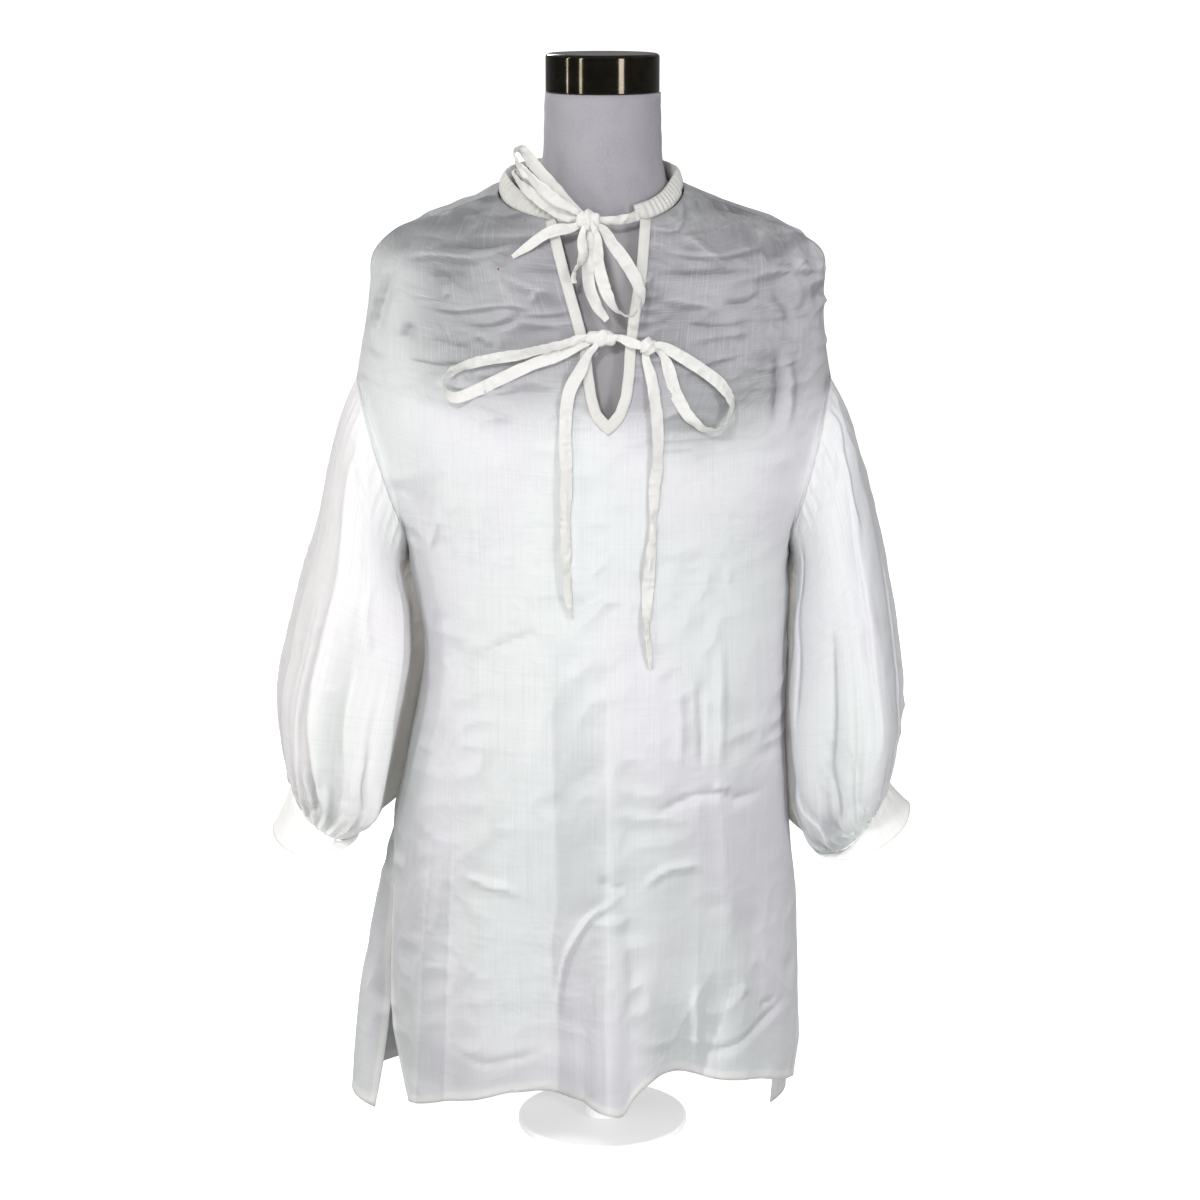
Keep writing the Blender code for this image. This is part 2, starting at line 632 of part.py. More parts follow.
def make_cuff_button(name, seam_ring, mouth_ring, angle, material, collection):
    """A flat round button on the outside of a cuff, near its overlap."""
    ring = Ring(*(a + (b - a) * 0.62 for a, b in zip(seam_ring, mouth_ring)))
    middle = (ring_point(ring, 0.0) + ring_point(ring, math.pi)) / 2
    foot = ring_point(ring, angle)
    run = Vector(ring_point(mouth_ring, angle)) - ring_point(seam_ring, angle)
    along = (ring_point(ring, angle + 0.05) - ring_point(ring, angle - 0.05)).normalized()
    outward = along.cross(run).normalized()
    if outward.dot(foot - middle) < 0:
        outward = -outward
    stand_off = BAND_WALL + SEAM_GAP + CUFF_BUTTON_HEIGHT / 2
    bpy.ops.mesh.primitive_cylinder_add(
        vertices=20, radius=CUFF_BUTTON_RADIUS, depth=CUFF_BUTTON_HEIGHT,
        location=foot + outward * stand_off,
        rotation=outward.to_track_quat("Z", "Y").to_euler())
    place_primitive(name, material, collection)


# Neck band and keyhole binding


def neck_edge():
    """The neck edge from the keyhole's left side, round the back, to its right side."""
    front = panel_sections(-1)[-1]
    back = panel_sections(1)[-1]
    left, right = front_row(front)
    behind = back_row(back)
    return left[:-1] + behind + right[-2::-1]


def towards_neck(point, distance):
    level = Vector((-point.x, -point.y, 0.0))
    return point + level.normalized() * distance


def make_neck_band(material, collection):
    """The drawstring casing: a band that stands on the neck edge and leans in."""
    low, high = [], []
    for point in neck_edge():
        seat = towards_neck(point, BAND_WALL + 2 * SEAM_GAP)
        low.append(seat + Vector((0.0, 0.0, -0.0005)))
        lean = 0.011 if point.y < 0 else 0.004
        lift = Vector((0.0, 0.0, NECK_BAND_HEIGHT * (0.72 if point.y < 0 else 0.95)))
        high.append(towards_neck(seat, lean) + lift)
    middle = [(a + b) / 2 + (a - towards_neck(a, 0.0012)) for a, b in zip(low, high)]
    verts, faces = loft([low, middle, high], closed=False)
    faces = [face[::-1] for face in faces]
    obj = add_object("neck_band", verts, faces, material, collection)
    give_wall(obj, BAND_WALL, 1.0)


def make_opening_binding(front, index_rows, material, collection):
    """A strip over the keyhole's edges, made of the front's own points moved out."""
    lift = CLOTH_WALL + 2.5 * SEAM_GAP
    raised = [vert.co + normal.vector * lift
              for vert, normal in zip(front.data.vertices, front.data.vertex_normals)]
    open_rows = [row for row in index_rows if row[0][0] != row[1][0]]
    closed_rows = [row for row in index_rows if row[0][0] == row[1][0]]

    def strip_point(near, far, width):
        near, far = raised[near], raised[far]
        return near + (far - near).normalized() * width

    inner = [raised[left[0]] for left, _ in open_rows[::-1]]
    outer = [strip_point(left[0], left[1], BINDING_WIDTH) for left, _ in open_rows[::-1]]
    tip_left, tip_right = closed_rows[-1]
    below = closed_rows[-2][0][0]
    inner += [strip_point(tip_left[0], tip_left[1], BINDING_NOTCH),
              strip_point(tip_left[0], below, BINDING_NOTCH),
              strip_point(tip_right[0], tip_right[1], BINDING_NOTCH)]
    outer += [strip_point(tip_left[0], tip_left[1], 0.8 * BINDING_WIDTH),
              strip_point(tip_left[0], below, BINDING_TIP),
              strip_point(tip_right[0], tip_right[1], 0.8 * BINDING_WIDTH)]
    inner += [raised[right[0]] for _, right in open_rows]
    outer += [strip_point(right[0], right[1], BINDING_WIDTH) for _, right in open_rows]
    verts, faces = loft([outer, inner], closed=False)
    obj = add_object("opening_binding", verts, faces, material, collection)
    give_wall(obj, CLOTH_WALL, 1.0)


# Ties


def front_depth(x, z):
    """The front's y at a place seen from the front, read between its sections."""
    heights, depths = [], []
    for section in panel_sections(-1):
        edge = section.left if x < section.middle[0] else section.right
        point = section_point(section, edge, share_at(section, edge, x))
        point = add_folds(point, FRONT_FOLDS, -1)
        heights.append(point.z)
        depths.append(point.y)
    return float(np.interp(z, heights, depths))


def smooth_curve(points, parts):
    """Catmull-Rom points through the given ones, each a tuple of numbers."""
    rows = [np.array(point, float) for point in points]
    rows = [2 * rows[0] - rows[1]] + rows + [2 * rows[-1] - rows[-2]]
    result = []
    for a, b, c, d in zip(rows, rows[1:], rows[2:], rows[3:]):
        for step in range(parts):
            t = step / parts
            result.append(0.5 * (2 * b + (c - a) * t + (2 * a - 5 * b + 4 * c - d) * t * t
                                 + (3 * b - 3 * c + d - a) * t ** 3))
    result.append(rows[-2])
    return result


def knot_centre(knot):
    return Vector((knot.x, front_depth(knot.x, knot.z) - CLOTH_WALL - knot.lift, knot.z))


def seat_on_knot(knot, place):
    """Brings a tape's end along its line to the knot until it all but touches it."""
    away = Vector(place) - knot_centre(knot)
    reach = math.sqrt((away.x / knot.across) ** 2 + (away.y / knot.deep) ** 2
                      + (away.z / knot.high) ** 2)
    surface = away / reach
    return knot_centre(knot) + surface + surface.normalized() * KNOT_GAP


def tape_stops(tie):
    """The tape's stops as (x, y, z, turn), its ends seated on the knots that hold them."""
    places = []
    for stop in tie.stops:
        reach = TAPE_WIDTH / 2 * abs(math.sin(math.radians(stop.turn)))
        y = front_depth(stop.x, stop.z) - CLOTH_WALL - TAPE_WALL - stop.lift - reach
        places.append((stop.x, y, stop.z, stop.turn))
    for end, knot_name in ((0, tie.start_knot), (-1, tie.end_knot)):
        if knot_name:
            seat = seat_on_knot(KNOTS[knot_name], places[end][:3])
            places[end] = (*seat, places[end][3])
    return places


def make_tape(name, tie, material, collection):
    """A flat tape along its stops, its face turned about its own line as they say."""
    curve = smooth_curve(tape_stops(tie), 2)
    centres = [Vector(place[:3]) for place in curve]
    one_edge, other_edge = [], []
    last = len(centres) - 1
    for number, centre in enumerate(centres):
        from_start = number if tie.start_knot else last
        from_end = last - number if tie.end_knot else last
        spread = eased(min(from_start, from_end) / TAPE_PINCH_STEPS)
        half_width = TAPE_WIDTH / 2 * (TAPE_PINCH + (1 - TAPE_PINCH) * spread)
        before = centres[max(number - 1, 0)]
        after = centres[min(number + 1, last)]
        along = (after - before).normalized()
        across = along.cross(Vector((0.0, -1.0, 0.0))).normalized()
        up = across.cross(along)
        turn = math.radians(curve[number][3])
        across = across * math.cos(turn) + up * math.sin(turn)
        one_edge.append(centre - across * half_width)
        other_edge.append(centre + across * half_width)
    verts, faces = loft([one_edge, other_edge], closed=False)
    obj = add_object(name, verts, faces, material, collection)
    give_wall(obj, TAPE_WALL, 0.0)


def make_knot(name, knot, material, collection):
    bpy.ops.mesh.primitive_uv_sphere_add(segments=16, ring_count=8, radius=1.0,
                                         location=knot_centre(knot))
    obj = bpy.context.active_object
    obj.scale = (knot.across, knot.deep, knot.high)
    bpy.ops.object.transform_apply(location=False, rotation=False, scale=True)
    place_primitive(name, material, collection)


# Dress form and stand


def place_primitive(name, material, collection):
    obj = bpy.context.active_object
    obj.name = name
    obj.data.name = name
    obj.data.materials.append(material)
    for owner in list(obj.users_collection):
        owner.objects.unlink(obj)
    collection.objects.link(obj)
    return obj


def form_row(ring):
    left = (-ring.side_x, 0.0, ring.side_z)
    right = (ring.side_x, 0.0, ring.side_z)
    front = Section(left, (0.0, ring.front_y, ring.front_z), right, 0.0)
    back = Section(left, (0.0, ring.back_y, ring.back_z), right, 0.0)
    quarter = FORM_COLUMNS // 4
    row = [section_point(back, right, step / quarter) for step in range(quarter, 0, -1)]
    row += [section_point(back, left, step / quarter) for step in range(quarter)]
    row += [section_point(front, left, step / quarter) for step in range(quarter, 0, -1)]
    row += [section_point(front, right, step / quarter) for step in range(quarter)]
    return row


def make_torso(material, collection):
    """The neck, the capped shoulders and the body down to the hips, closed flat."""
    rows = [form_row(ring) for ring in FORM_RINGS[::-1]]
    verts, faces = loft(rows, closed=True)
    faces.append(tuple(range(FORM_COLUMNS))[::-1])
    top = (len(rows) - 1) * FORM_COLUMNS
    faces.append(tuple(range(top, top + FORM_COLUMNS)))
    add_object("form_torso", verts, faces, material, collection)


def make_cap(material, collection):
    """The metal neck cap, turned: a short drum with a rounded rim and a low dome."""
    top = CAP_BOTTOM + CAP_HEIGHT
    profile = [(0.0, top + CAP_DOME), (CAP_RADIUS * 0.5, top + CAP_DOME * 0.7)]
    for step in range(5):
        angle = math.radians(90 - 22.5 * step)
        profile.append((CAP_RADIUS - CAP_RIM_RADIUS * (1 - math.cos(angle)),
                        top - CAP_RIM_RADIUS * (1 - math.sin(angle))))
    profile += [(CAP_RADIUS, CAP_BOTTOM), (0.0, CAP_BOTTOM)]
    verts = [(radius, 0.0, height) for radius, height in profile]
    mesh = bpy.data.meshes.new("neck_cap")
    mesh.from_pydata(verts, [(i, i + 1) for i in range(len(verts) - 1)], [])
    mesh.materials.append(material)
    obj = bpy.data.objects.new("neck_cap", mesh)
    collection.objects.link(obj)
    turn = obj.modifiers.new("Turn", "SCREW")
    turn.steps = turn.render_steps = FORM_SIDES
    turn.use_merge_vertices = True
    turn.merge_threshold = 0.0001


def make_stand(material, collection):
    post_bottom = PLATE_HEIGHT + SEAM_GAP
    post_top = FORM_RINGS[-1].side_z - SEAM_GAP
    bpy.ops.mesh.primitive_cylinder_add(
        vertices=FORM_SIDES // 2, radius=POST_RADIUS, depth=post_top - post_bottom,
        location=(0.0, 0.0, (post_top + post_bottom) / 2))
    place_primitive("form_post", material, collection)
    bpy.ops.mesh.primitive_cylinder_add(
        vertices=FORM_SIDES, radius=PLATE_RADIUS, depth=PLATE_HEIGHT,
        location=(0.0, 0.0, PLATE_HEIGHT / 2))
    plate = place_primitive("base_plate", material, collection)
    edge = plate.modifiers.new("Edge", "BEVEL")
    edge.width = PLATE_BEVEL
    edge.segments = 2
    edge.limit_method = "ANGLE"


def main():
    clear_scene()
    collection = make_collection()
    voile = make_material("white_voile", (0.86, 0.86, 0.85), 0.85)
    tape = make_material("ivory_tape", (0.88, 0.86, 0.81), 0.85)
    jersey = make_material("grey_jersey", (0.45, 0.43, 0.50), 0.9)
    metal = make_material("bronze_metal", (0.20, 0.17, 0.13), 0.3, 1.0)
    paint = make_material("white_paint", (0.85, 0.85, 0.85), 0.5)
    pearl = make_material("white_button", (0.85, 0.84, 0.80), 0.35)

    make_torso(jersey, collection)
    make_cap(metal, collection)
    make_stand(paint, collection)
    front, front_index = make_front(voile, collection)
    make_back(voile, collection)
    make_sleeve("sleeve_left", LEFT_SLEEVE, -1, voile, collection)
    make_sleeve("sleeve_right", RIGHT_SLEEVE, 1, voile, collection)
    make_cuff("cuff_left", LEFT_SLEEVE[-1], LEFT_CUFF_MOUTH, -1, voile, collection)
    make_cuff("cuff_right", RIGHT_SLEEVE[-1], RIGHT_CUFF_MOUTH, 1, voile, collection)
    make_cuff_button("cuff_button_left", LEFT_SLEEVE[-1], LEFT_CUFF_MOUTH,
                     math.radians(165), pearl, collection)
    make_cuff_button("cuff_button_right", RIGHT_SLEEVE[-1], RIGHT_CUFF_MOUTH,
                     math.radians(200), pearl, collection)
    make_neck_band(voile, collection)
    make_opening_binding(front, front_index, voile, collection)
    for name, tie in TIES.items():
        make_tape(name, tie, tape, collection)
    for name, knot in KNOTS.items():
        make_knot(name, knot, tape, collection)


main()
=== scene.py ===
import math

import bpy
import bmesh
import numpy as np
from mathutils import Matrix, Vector
from mathutils.bvhtree import BVHTree


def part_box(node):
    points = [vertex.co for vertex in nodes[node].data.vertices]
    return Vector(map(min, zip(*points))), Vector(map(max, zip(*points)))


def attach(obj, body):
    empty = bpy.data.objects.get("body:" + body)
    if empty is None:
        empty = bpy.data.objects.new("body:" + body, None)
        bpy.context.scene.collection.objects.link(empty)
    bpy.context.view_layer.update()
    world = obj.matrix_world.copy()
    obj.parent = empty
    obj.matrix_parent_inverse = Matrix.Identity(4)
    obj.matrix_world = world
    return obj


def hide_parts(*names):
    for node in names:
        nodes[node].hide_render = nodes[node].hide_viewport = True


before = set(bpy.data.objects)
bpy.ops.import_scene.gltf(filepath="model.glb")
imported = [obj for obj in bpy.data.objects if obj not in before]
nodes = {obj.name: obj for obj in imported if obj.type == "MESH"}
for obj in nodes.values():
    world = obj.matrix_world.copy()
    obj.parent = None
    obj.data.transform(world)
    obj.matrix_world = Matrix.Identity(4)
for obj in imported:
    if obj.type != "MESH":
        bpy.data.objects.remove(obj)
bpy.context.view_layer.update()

print("frame loaded:", len(nodes), "nodes")

# Metres, +Z up. The garment's front faces -Y and +X is to the right as seen from the front.

# Small tools


def eased(share):
    share = np.clip(share, 0.0, 1.0)
    return share * share * (3.0 - 2.0 * share)


def bump(distance, width):  # 1 on a fold's line, 0 at its width
    return np.cos(0.5 * np.pi * np.clip(np.abs(distance) / width, 0, 1)) ** 2


def softNoise(points, scale, seed):  # smooth noise from -1 to 1, the same each run
    lattice = np.random.RandomState(seed).rand(32, 32, 32) * 2 - 1
    place = np.asarray(points, float) / scale + 50
    cell = np.floor(place).astype(int)
    part = place - cell
    part = part * part * (3 - 2 * part)
    total = 0.0
    for corner in range(8):
        step = np.array([corner & 1, corner >> 1 & 1, corner >> 2 & 1])
        index = (cell + step) % 32
        weight = np.prod(np.where(step, part, 1 - part), axis=-1)
        total = total + weight * lattice[index[..., 0], index[..., 1], index[..., 2]]
    return total


def smoothCurve(stops, parts):  # Catmull-Rom through rows of numbers
    rows = np.array(stops, float)
    rows = np.vstack([2 * rows[0] - rows[1], rows, 2 * rows[-1] - rows[-2]])
    made = []
    for a, b, c, d in zip(rows, rows[1:], rows[2:], rows[3:]):
        for t in np.arange(parts) / parts:
            made.append(0.5 * (2 * b + (c - a) * t + (2 * a - 5 * b + 4 * c - d) * t * t
                               + (3 * b - 3 * c + d - a) * t ** 3))
    made.append(rows[-2])
    return np.array(made)


def evenCurve(points, spacing):  # the same line with points an even step apart
    points = np.array(points, float)
    run = runAlong(points[:, :3])
    count = max(int(round(run[-1] / spacing)), 2)
    places = np.linspace(0, run[-1], count + 1)
    return np.column_stack([np.interp(places, run, column) for column in points.T])


def smoothRows(rows, cell):
    # cubic rows through the given ones, about one cell apart
    rows = np.array(rows, float)
    gaps = np.diff(rows, axis=0)
    lengths = 0.5 * (np.linalg.norm(gaps[:, 0:3], axis=1)
                     + np.linalg.norm(gaps[:, 6:9], axis=1))
    slopes = gaps / lengths[:, None]
    tangents = np.empty_like(rows)
    tangents[1:-1] = ((slopes[:-1] * lengths[1:, None] + slopes[1:] * lengths[:-1, None])
                      / (lengths[1:] + lengths[:-1])[:, None])
    tangents[0], tangents[-1] = slopes[0], slopes[-1]
    made = []
    for i, length in enumerate(lengths):
        count = max(int(math.ceil(length / cell)), 1)
        for t in np.arange(count) / count:
            made.append((2 * t ** 3 - 3 * t ** 2 + 1) * rows[i]
                        + (t ** 3 - 2 * t ** 2 + t) * length * tangents[i]
                        + (3 * t ** 2 - 2 * t ** 3) * rows[i + 1]
                        + (t ** 3 - t ** 2) * length * tangents[i + 1])
    made.append(rows[-1])
    return np.array(made)


def gridFaces(rows, columns, closed=False, flip=False, start=0):
    faces = []
    for low in range(rows - 1):
        for column in range(columns if closed else columns - 1):
            after = (column + 1) % columns
            face = (start + low * columns + column, start + low * columns + after,
                    start + (low + 1) * columns + after, start + (low + 1) * columns + column)
            faces.append(face[::-1] if flip else face)
    return faces


def addMesh(name, points, faces, material, uv=None, tones=None):
    mesh = bpy.data.meshes.new(name)
    mesh.from_pydata(np.asarray(points, float).reshape(-1, 3).tolist(), [], faces)
    if uv is not None:
        layer = mesh.uv_layers.new(name="cloth")
        corners = np.empty(len(mesh.loops), int)
        mesh.loops.foreach_get("vertex_index", corners)
        layer.data.foreach_set("uv", np.asarray(uv, float).reshape(-1, 2)[corners].ravel())
    for key, values in (tones or {}).items():
        layer = mesh.attributes.new(key, "FLOAT", "POINT")
        layer.data.foreach_set("value", np.asarray(values, float).ravel())
    mesh.materials.append(material)
    mesh.shade_smooth()
    obj = bpy.data.objects.new(name, mesh)
    bpy.context.scene.collection.objects.link(obj)
    return obj


def pointsOf(obj):
    found = np.empty(len(obj.data.vertices) * 3)
    obj.data.vertices.foreach_get("co", found)
    return found.reshape(-1, 3)


def normalsOf(obj):
    found = np.empty(len(obj.data.vertices) * 3)
    obj.data.vertex_normals.foreach_get("vector", found)
    return found.reshape(-1, 3)


def movePoints(obj, points):
    obj.data.vertices.foreach_set("co", np.asarray(points, float).ravel())
    obj.data.update()


def toneOf(obj, key):
    found = np.empty(len(obj.data.vertices))
    obj.data.attributes[key].data.foreach_get("value", found)
    return found


def setTone(obj, key, values):
    layer = obj.data.attributes.get(key) or obj.data.attributes.new(key, "FLOAT", "POINT")
    layer.data.foreach_set("value", np.asarray(values, float).ravel())


def takeDown(obj):  # applies every modifier
    bpy.ops.object.select_all(action="DESELECT")
    obj.select_set(True)
    bpy.context.view_layer.objects.active = obj
    for modifier in list(obj.modifiers):
        bpy.ops.object.modifier_apply(modifier=modifier.name)


def giveWall(obj, thickness, offset=1.0):
    wall = obj.modifiers.new("wall", "SOLIDIFY")
    wall.thickness = thickness
    wall.offset = offset
    wall.use_quality_normals = True
    takeDown(obj)
    obj.data.shade_smooth()


def unit(vectors):
    return vectors / np.linalg.norm(vectors, axis=-1, keepdims=True)


def runAlong(points):  # how far along the line each point lies
    steps = np.linalg.norm(np.diff(points, axis=0), axis=1)
    return np.concatenate([[0], np.cumsum(steps)])


def turnFrom(degrees, angle):  # from -180 to 180
    return (degrees - angle + 180) % 360 - 180


def fromMiddle(points):  # the way out from the middle of each row
    return unit(points - points.mean(axis=1, keepdims=True))


def endCaps(rows, columns, flip=False):  # a face at each end of a tube made by gridFaces
    first, last = tuple(range(columns)), tuple(range((rows - 1) * columns, rows * columns))
    return [first, last[::-1]] if flip else [first[::-1], last]


def faceOut(obj):
    work = bmesh.new()
    work.from_mesh(obj.data)
    bmesh.ops.recalc_face_normals(work, faces=work.faces)
    work.to_mesh(obj.data)
    work.free()


def addDrum(radius, depth, sides, place=(0, 0, 0)):
    bpy.ops.object.select_all(action="DESELECT")
    bpy.ops.mesh.primitive_cylinder_add(vertices=sides, radius=radius, depth=depth,
                                        location=place)
    return bpy.context.active_object


def roundEdges(obj, width, segments):
    rounding = obj.modifiers.new("rounding", "BEVEL")
    rounding.width = width
    rounding.segments = segments
    rounding.limit_method = "ANGLE"
    takeDown(obj)


def mergeClose(obj):
    work = bmesh.new()
    work.from_mesh(obj.data)
    bmesh.ops.remove_doubles(work, verts=work.verts, dist=1e-5)
    work.to_mesh(obj.data)
    work.free()
    obj.data.update()


def treeOf(obj):
    obj.data.calc_loop_triangles()
    return BVHTree.FromPolygons([tuple(p) for p in pointsOf(obj)],
                                [tuple(t.vertices) for t in obj.data.loop_triangles])


def creaseField(across, down, creases):
    # how far out each place is moved by creases, each a width, a depth and a path seen flat
    total = np.zeros_like(across)
    for width, depth, *stops in creases:
        path = evenCurve(smoothCurve(stops, 6), 0.008)
        best = np.full(across.shape, 1e9)
        along = np.zeros_like(across)
        span = len(path) - 1
        for i in range(span):
            ax, az = path[i]
            dx, dz = path[i + 1] - path[i]
            length = math.hypot(dx, dz)
            t = ((across - ax) * dx + (down - az) * dz) / length ** 2
            inside = np.clip(t, 0, 1)
            far = np.hypot(across - ax - inside * dx, down - az - inside * dz)
            near = far < best
            best = np.where(near, far, best)
            along = np.where(near, (i + inside) / span, along)
        fade = eased(along / 0.3) * eased((1 - along) / 0.3)
        reach = best / width
        total += depth * np.clip(1 - reach / 1.25, 0, 1) ** 1.25 * fade
    return total


# Materials


def addNode(tree, kind, **settings):
    node = tree.nodes.new(kind)
    for key, value in settings.items():
        setattr(node, key, value)
    return node


def newGroup(name, inputs, outputs):
    tree = bpy.data.node_groups.new(name, "ShaderNodeTree")
    for label, kind, value in inputs:
        socket = tree.interface.new_socket(label, in_out="INPUT", socket_type=kind)
        socket.default_value = value
    for label, kind in outputs:
        tree.interface.new_socket(label, in_out="OUTPUT", socket_type=kind)
    return tree, addNode(tree, "NodeGroupInput"), addNode(tree, "NodeGroupOutput")


def mixColours(tree, factor, first, second, blend="MIX"):
    node = addNode(tree, "ShaderNodeMix", data_type="RGBA", blend_type=blend)
    for socket, value in ((node.inputs[0], factor), (node.inputs[6], first),
                          (node.inputs[7], second)):
        if hasattr(value, "links"):
            tree.links.new(value, socket)
        else:
            socket.default_value = value
    return node.outputs[2]


def calculate(tree, operation, first, second=0.5):
    node = addNode(tree, "ShaderNodeMath", operation=operation)
    for socket, value in zip(node.inputs, (first, second)):
        if hasattr(value, "links"):
            tree.links.new(value, socket)
        else:
            socket.default_value = value
    return node.outputs[0]


def stretchedNoise(tree, source, scale, detail, roughness=0.5):
    mapping = addNode(tree, "ShaderNodeMapping")
    mapping.inputs["Scale"].default_value = scale
    noise = addNode(tree, "ShaderNodeTexNoise")
    noise.inputs["Scale"].default_value = 1.0
    noise.inputs["Detail"].default_value = detail
    noise.inputs["Roughness"].default_value = roughness
    tree.links.new(source, mapping.inputs["Vector"])
    tree.links.new(mapping.outputs[0], noise.inputs["Vector"])
    return noise.outputs["Fac"]


def ranged(tree, value, low, high, lowest=0.0, highest=1.0):
    node = addNode(tree, "ShaderNodeMapRange", interpolation_type="SMOOTHSTEP")
    tree.links.new(value, node.inputs["Value"])
    for label, number in (("From Min", low), ("From Max", high), ("To Min", lowest),
                          ("To Max", highest)):
        node.inputs[label].default_value = number
    return node.outputs[0]


def addRelief(tree, shader, height, distance, strength):
    raised = addNode(tree, "ShaderNodeBump")
    raised.inputs["Distance"].default_value = distance
    raised.inputs["Strength"].default_value = strength
    tree.links.new(height, raised.inputs["Height"])
    tree.links.new(raised.outputs[0], shader.inputs["Normal"])


def voileColour(tree, given, cloth, warp, patch, hue, threads):
    cool = mixColours(tree, ranged(tree, hue, 0.4, 0.6), (0.972, 1.0, 0.985, 1),
                      (0.985, 0.972, 1.0, 1))
    tint = mixColours(tree, given.outputs["Tint"], (1, 1, 1, 1), cool)
    white = mixColours(tree, 1.0, given.outputs["White"], tint, "MULTIPLY")
    white = mixColours(tree, calculate(tree, "MULTIPLY", ranged(tree, warp, 0.46, 0.30), 0.18),
                       white, (0.66, 0.66, 0.68, 1))
    for scale, amount in (((430, 7, 1), 0.16), ((6, 400, 1), 0.11)):
        streak = ranged(tree, stretchedNoise(tree, cloth, scale, 2.0), 0.50, 0.28)
        white = mixColours(tree, calculate(tree, "MULTIPLY", streak, amount), white,
                           (0.60, 0.605, 0.62, 1))
    closeness = calculate(tree, "MULTIPLY", given.outputs["Close"],
                          ranged(tree, patch, 0.30, 0.70, 1.0, 0.86))
    backed = mixColours(tree, 1.0, given.outputs["Backed"], tint, "MULTIPLY")
    toned = mixColours(tree, closeness, white, backed)
    toned = mixColours(tree, calculate(tree, "MULTIPLY", threads, 0.40), toned,
                       (0.93, 0.93, 0.93, 1))
    toned = mixColours(tree, given.outputs["Layers"], toned, given.outputs["Doubled"])
    # painted shade: the Shade attribute darkens the tone
    dimmed = mixColours(tree, 1.0, toned, (0.66, 0.665, 0.675, 1), "MULTIPLY")
    return mixColours(tree, given.outputs["Shade"], toned, dimmed)


def voileHeight(tree, given, cloth, fine, threads):  # threads and sharp-edged crumples
    height = calculate(tree, "ADD", calculate(tree, "MULTIPLY", threads, 0.10),
                       calculate(tree, "MULTIPLY", fine, 0.10))
    shown = ranged(tree, stretchedNoise(tree, cloth, (10, 15, 1), 1.0), 0.35, 0.60, 0.25)
    for scale, strength in (((24, 36, 1), 6.0), ((48, 70, 1), 3.0)):
        creased = stretchedNoise(tree, cloth, scale, 0.6, 1.0)
        edge = calculate(tree, "ABSOLUTE", calculate(tree, "SUBTRACT", creased, 0.5))
        edge = calculate(tree, "MULTIPLY", edge, shown)
        height = calculate(tree, "SUBTRACT", height, calculate(tree, "MULTIPLY", edge, strength))
    depth = calculate(tree, "ADD", calculate(tree, "MULTIPLY", given.outputs["Close"], 1.35), 0.45)
    depth = calculate(tree, "MULTIPLY", depth, given.outputs["Crumple"])
    return calculate(tree, "MULTIPLY", height, depth)


def makeVoileGroup():
    # sheer slubbed cloth: its tone goes grey where the form is close behind it and, on the
    # sleeves, toward a warm painted shade; ivory where it is folded double, and darker where shade
    # is painted on it
    tree, given, made = newGroup(
        "slubbedVoile",
        [("White", "NodeSocketColor", (0.88, 0.88, 0.87, 1)),
         ("Backed", "NodeSocketColor", (0.30, 0.297, 0.312, 1)),
         ("Doubled", "NodeSocketColor", (0.90, 0.895, 0.878, 1)),
         ("Close", "NodeSocketFloat", 0.0), ("Layers", "NodeSocketFloat", 0.0),
         ("Shade", "NodeSocketFloat", 0.0),
         ("Slubs", "NodeSocketFloat", 1.0), ("Tint", "NodeSocketFloat", 1.0),
         ("Crumple", "NodeSocketFloat", 1.0)],
        [("Color", "NodeSocketColor"), ("Height", "NodeSocketFloat"),
         ("Roughness", "NodeSocketFloat")])
    cloth = addNode(tree, "ShaderNodeUVMap", uv_map="cloth").outputs[0]
    warp = stretchedNoise(tree, cloth, (1500, 16, 1), 2.0)
    weft = stretchedNoise(tree, cloth, (18, 1300, 1), 2.0)
    fine = stretchedNoise(tree, cloth, (2300, 2300, 1), 1.0)
    patch = stretchedNoise(tree, cloth, (16, 24, 1), 3.0)
    hue = stretchedNoise(tree, cloth, (7, 4, 1), 1.0)
    threads = calculate(tree, "MAXIMUM", ranged(tree, warp, 0.56, 0.74),
                        ranged(tree, weft, 0.58, 0.76))
    threads = calculate(tree, "MULTIPLY", threads, given.outputs["Slubs"])
    tree.links.new(voileColour(tree, given, cloth, warp, patch, hue, threads),
                   made.inputs["Color"])
    tree.links.new(voileHeight(tree, given, cloth, fine, threads), made.inputs["Height"])
    tree.links.new(ranged(tree, fine, 0.2, 0.8, 0.78, 0.92), made.inputs["Roughness"])
    return tree


voileGroup = makeVoileGroup()


def newMaterial(name, roughness=0.8, metallic=0.0):
    material = bpy.data.materials.new(name)
    material.use_nodes = True
    shader = material.node_tree.nodes["Principled BSDF"]
    shader.inputs["Roughness"].default_value = roughness
    shader.inputs["Metallic"].default_value = metallic
    return material, material.node_tree, shader


def makeCloth(name, values, alpha=1.0):
    material, tree, shader = newMaterial(name)
    group = addNode(tree, "ShaderNodeGroup", node_tree=voileGroup)
    for label, value in values.items():
        group.inputs[label].default_value = value
    for label, key in (("Close", "close"), ("Layers", "layers"), ("Shade", "shade")):
        if label not in values:
            tone = addNode(tree, "ShaderNodeAttribute", attribute_name=key)
            tree.links.new(tone.outputs["Fac"], group.inputs[label])
    addRelief(tree, shader, group.outputs["Height"], clothLook["relief"], 1.0)
    tree.links.new(group.outputs["Color"], shader.inputs["Base Color"])
    tree.links.new(group.outputs["Roughness"], shader.inputs["Roughness"])
    shader.inputs["Sheen Weight"].default_value = clothLook["sheen"]
    shader.inputs["Specular IOR Level"].default_value = clothLook["shine"]
    shader.inputs["Alpha"].default_value = alpha
    return material


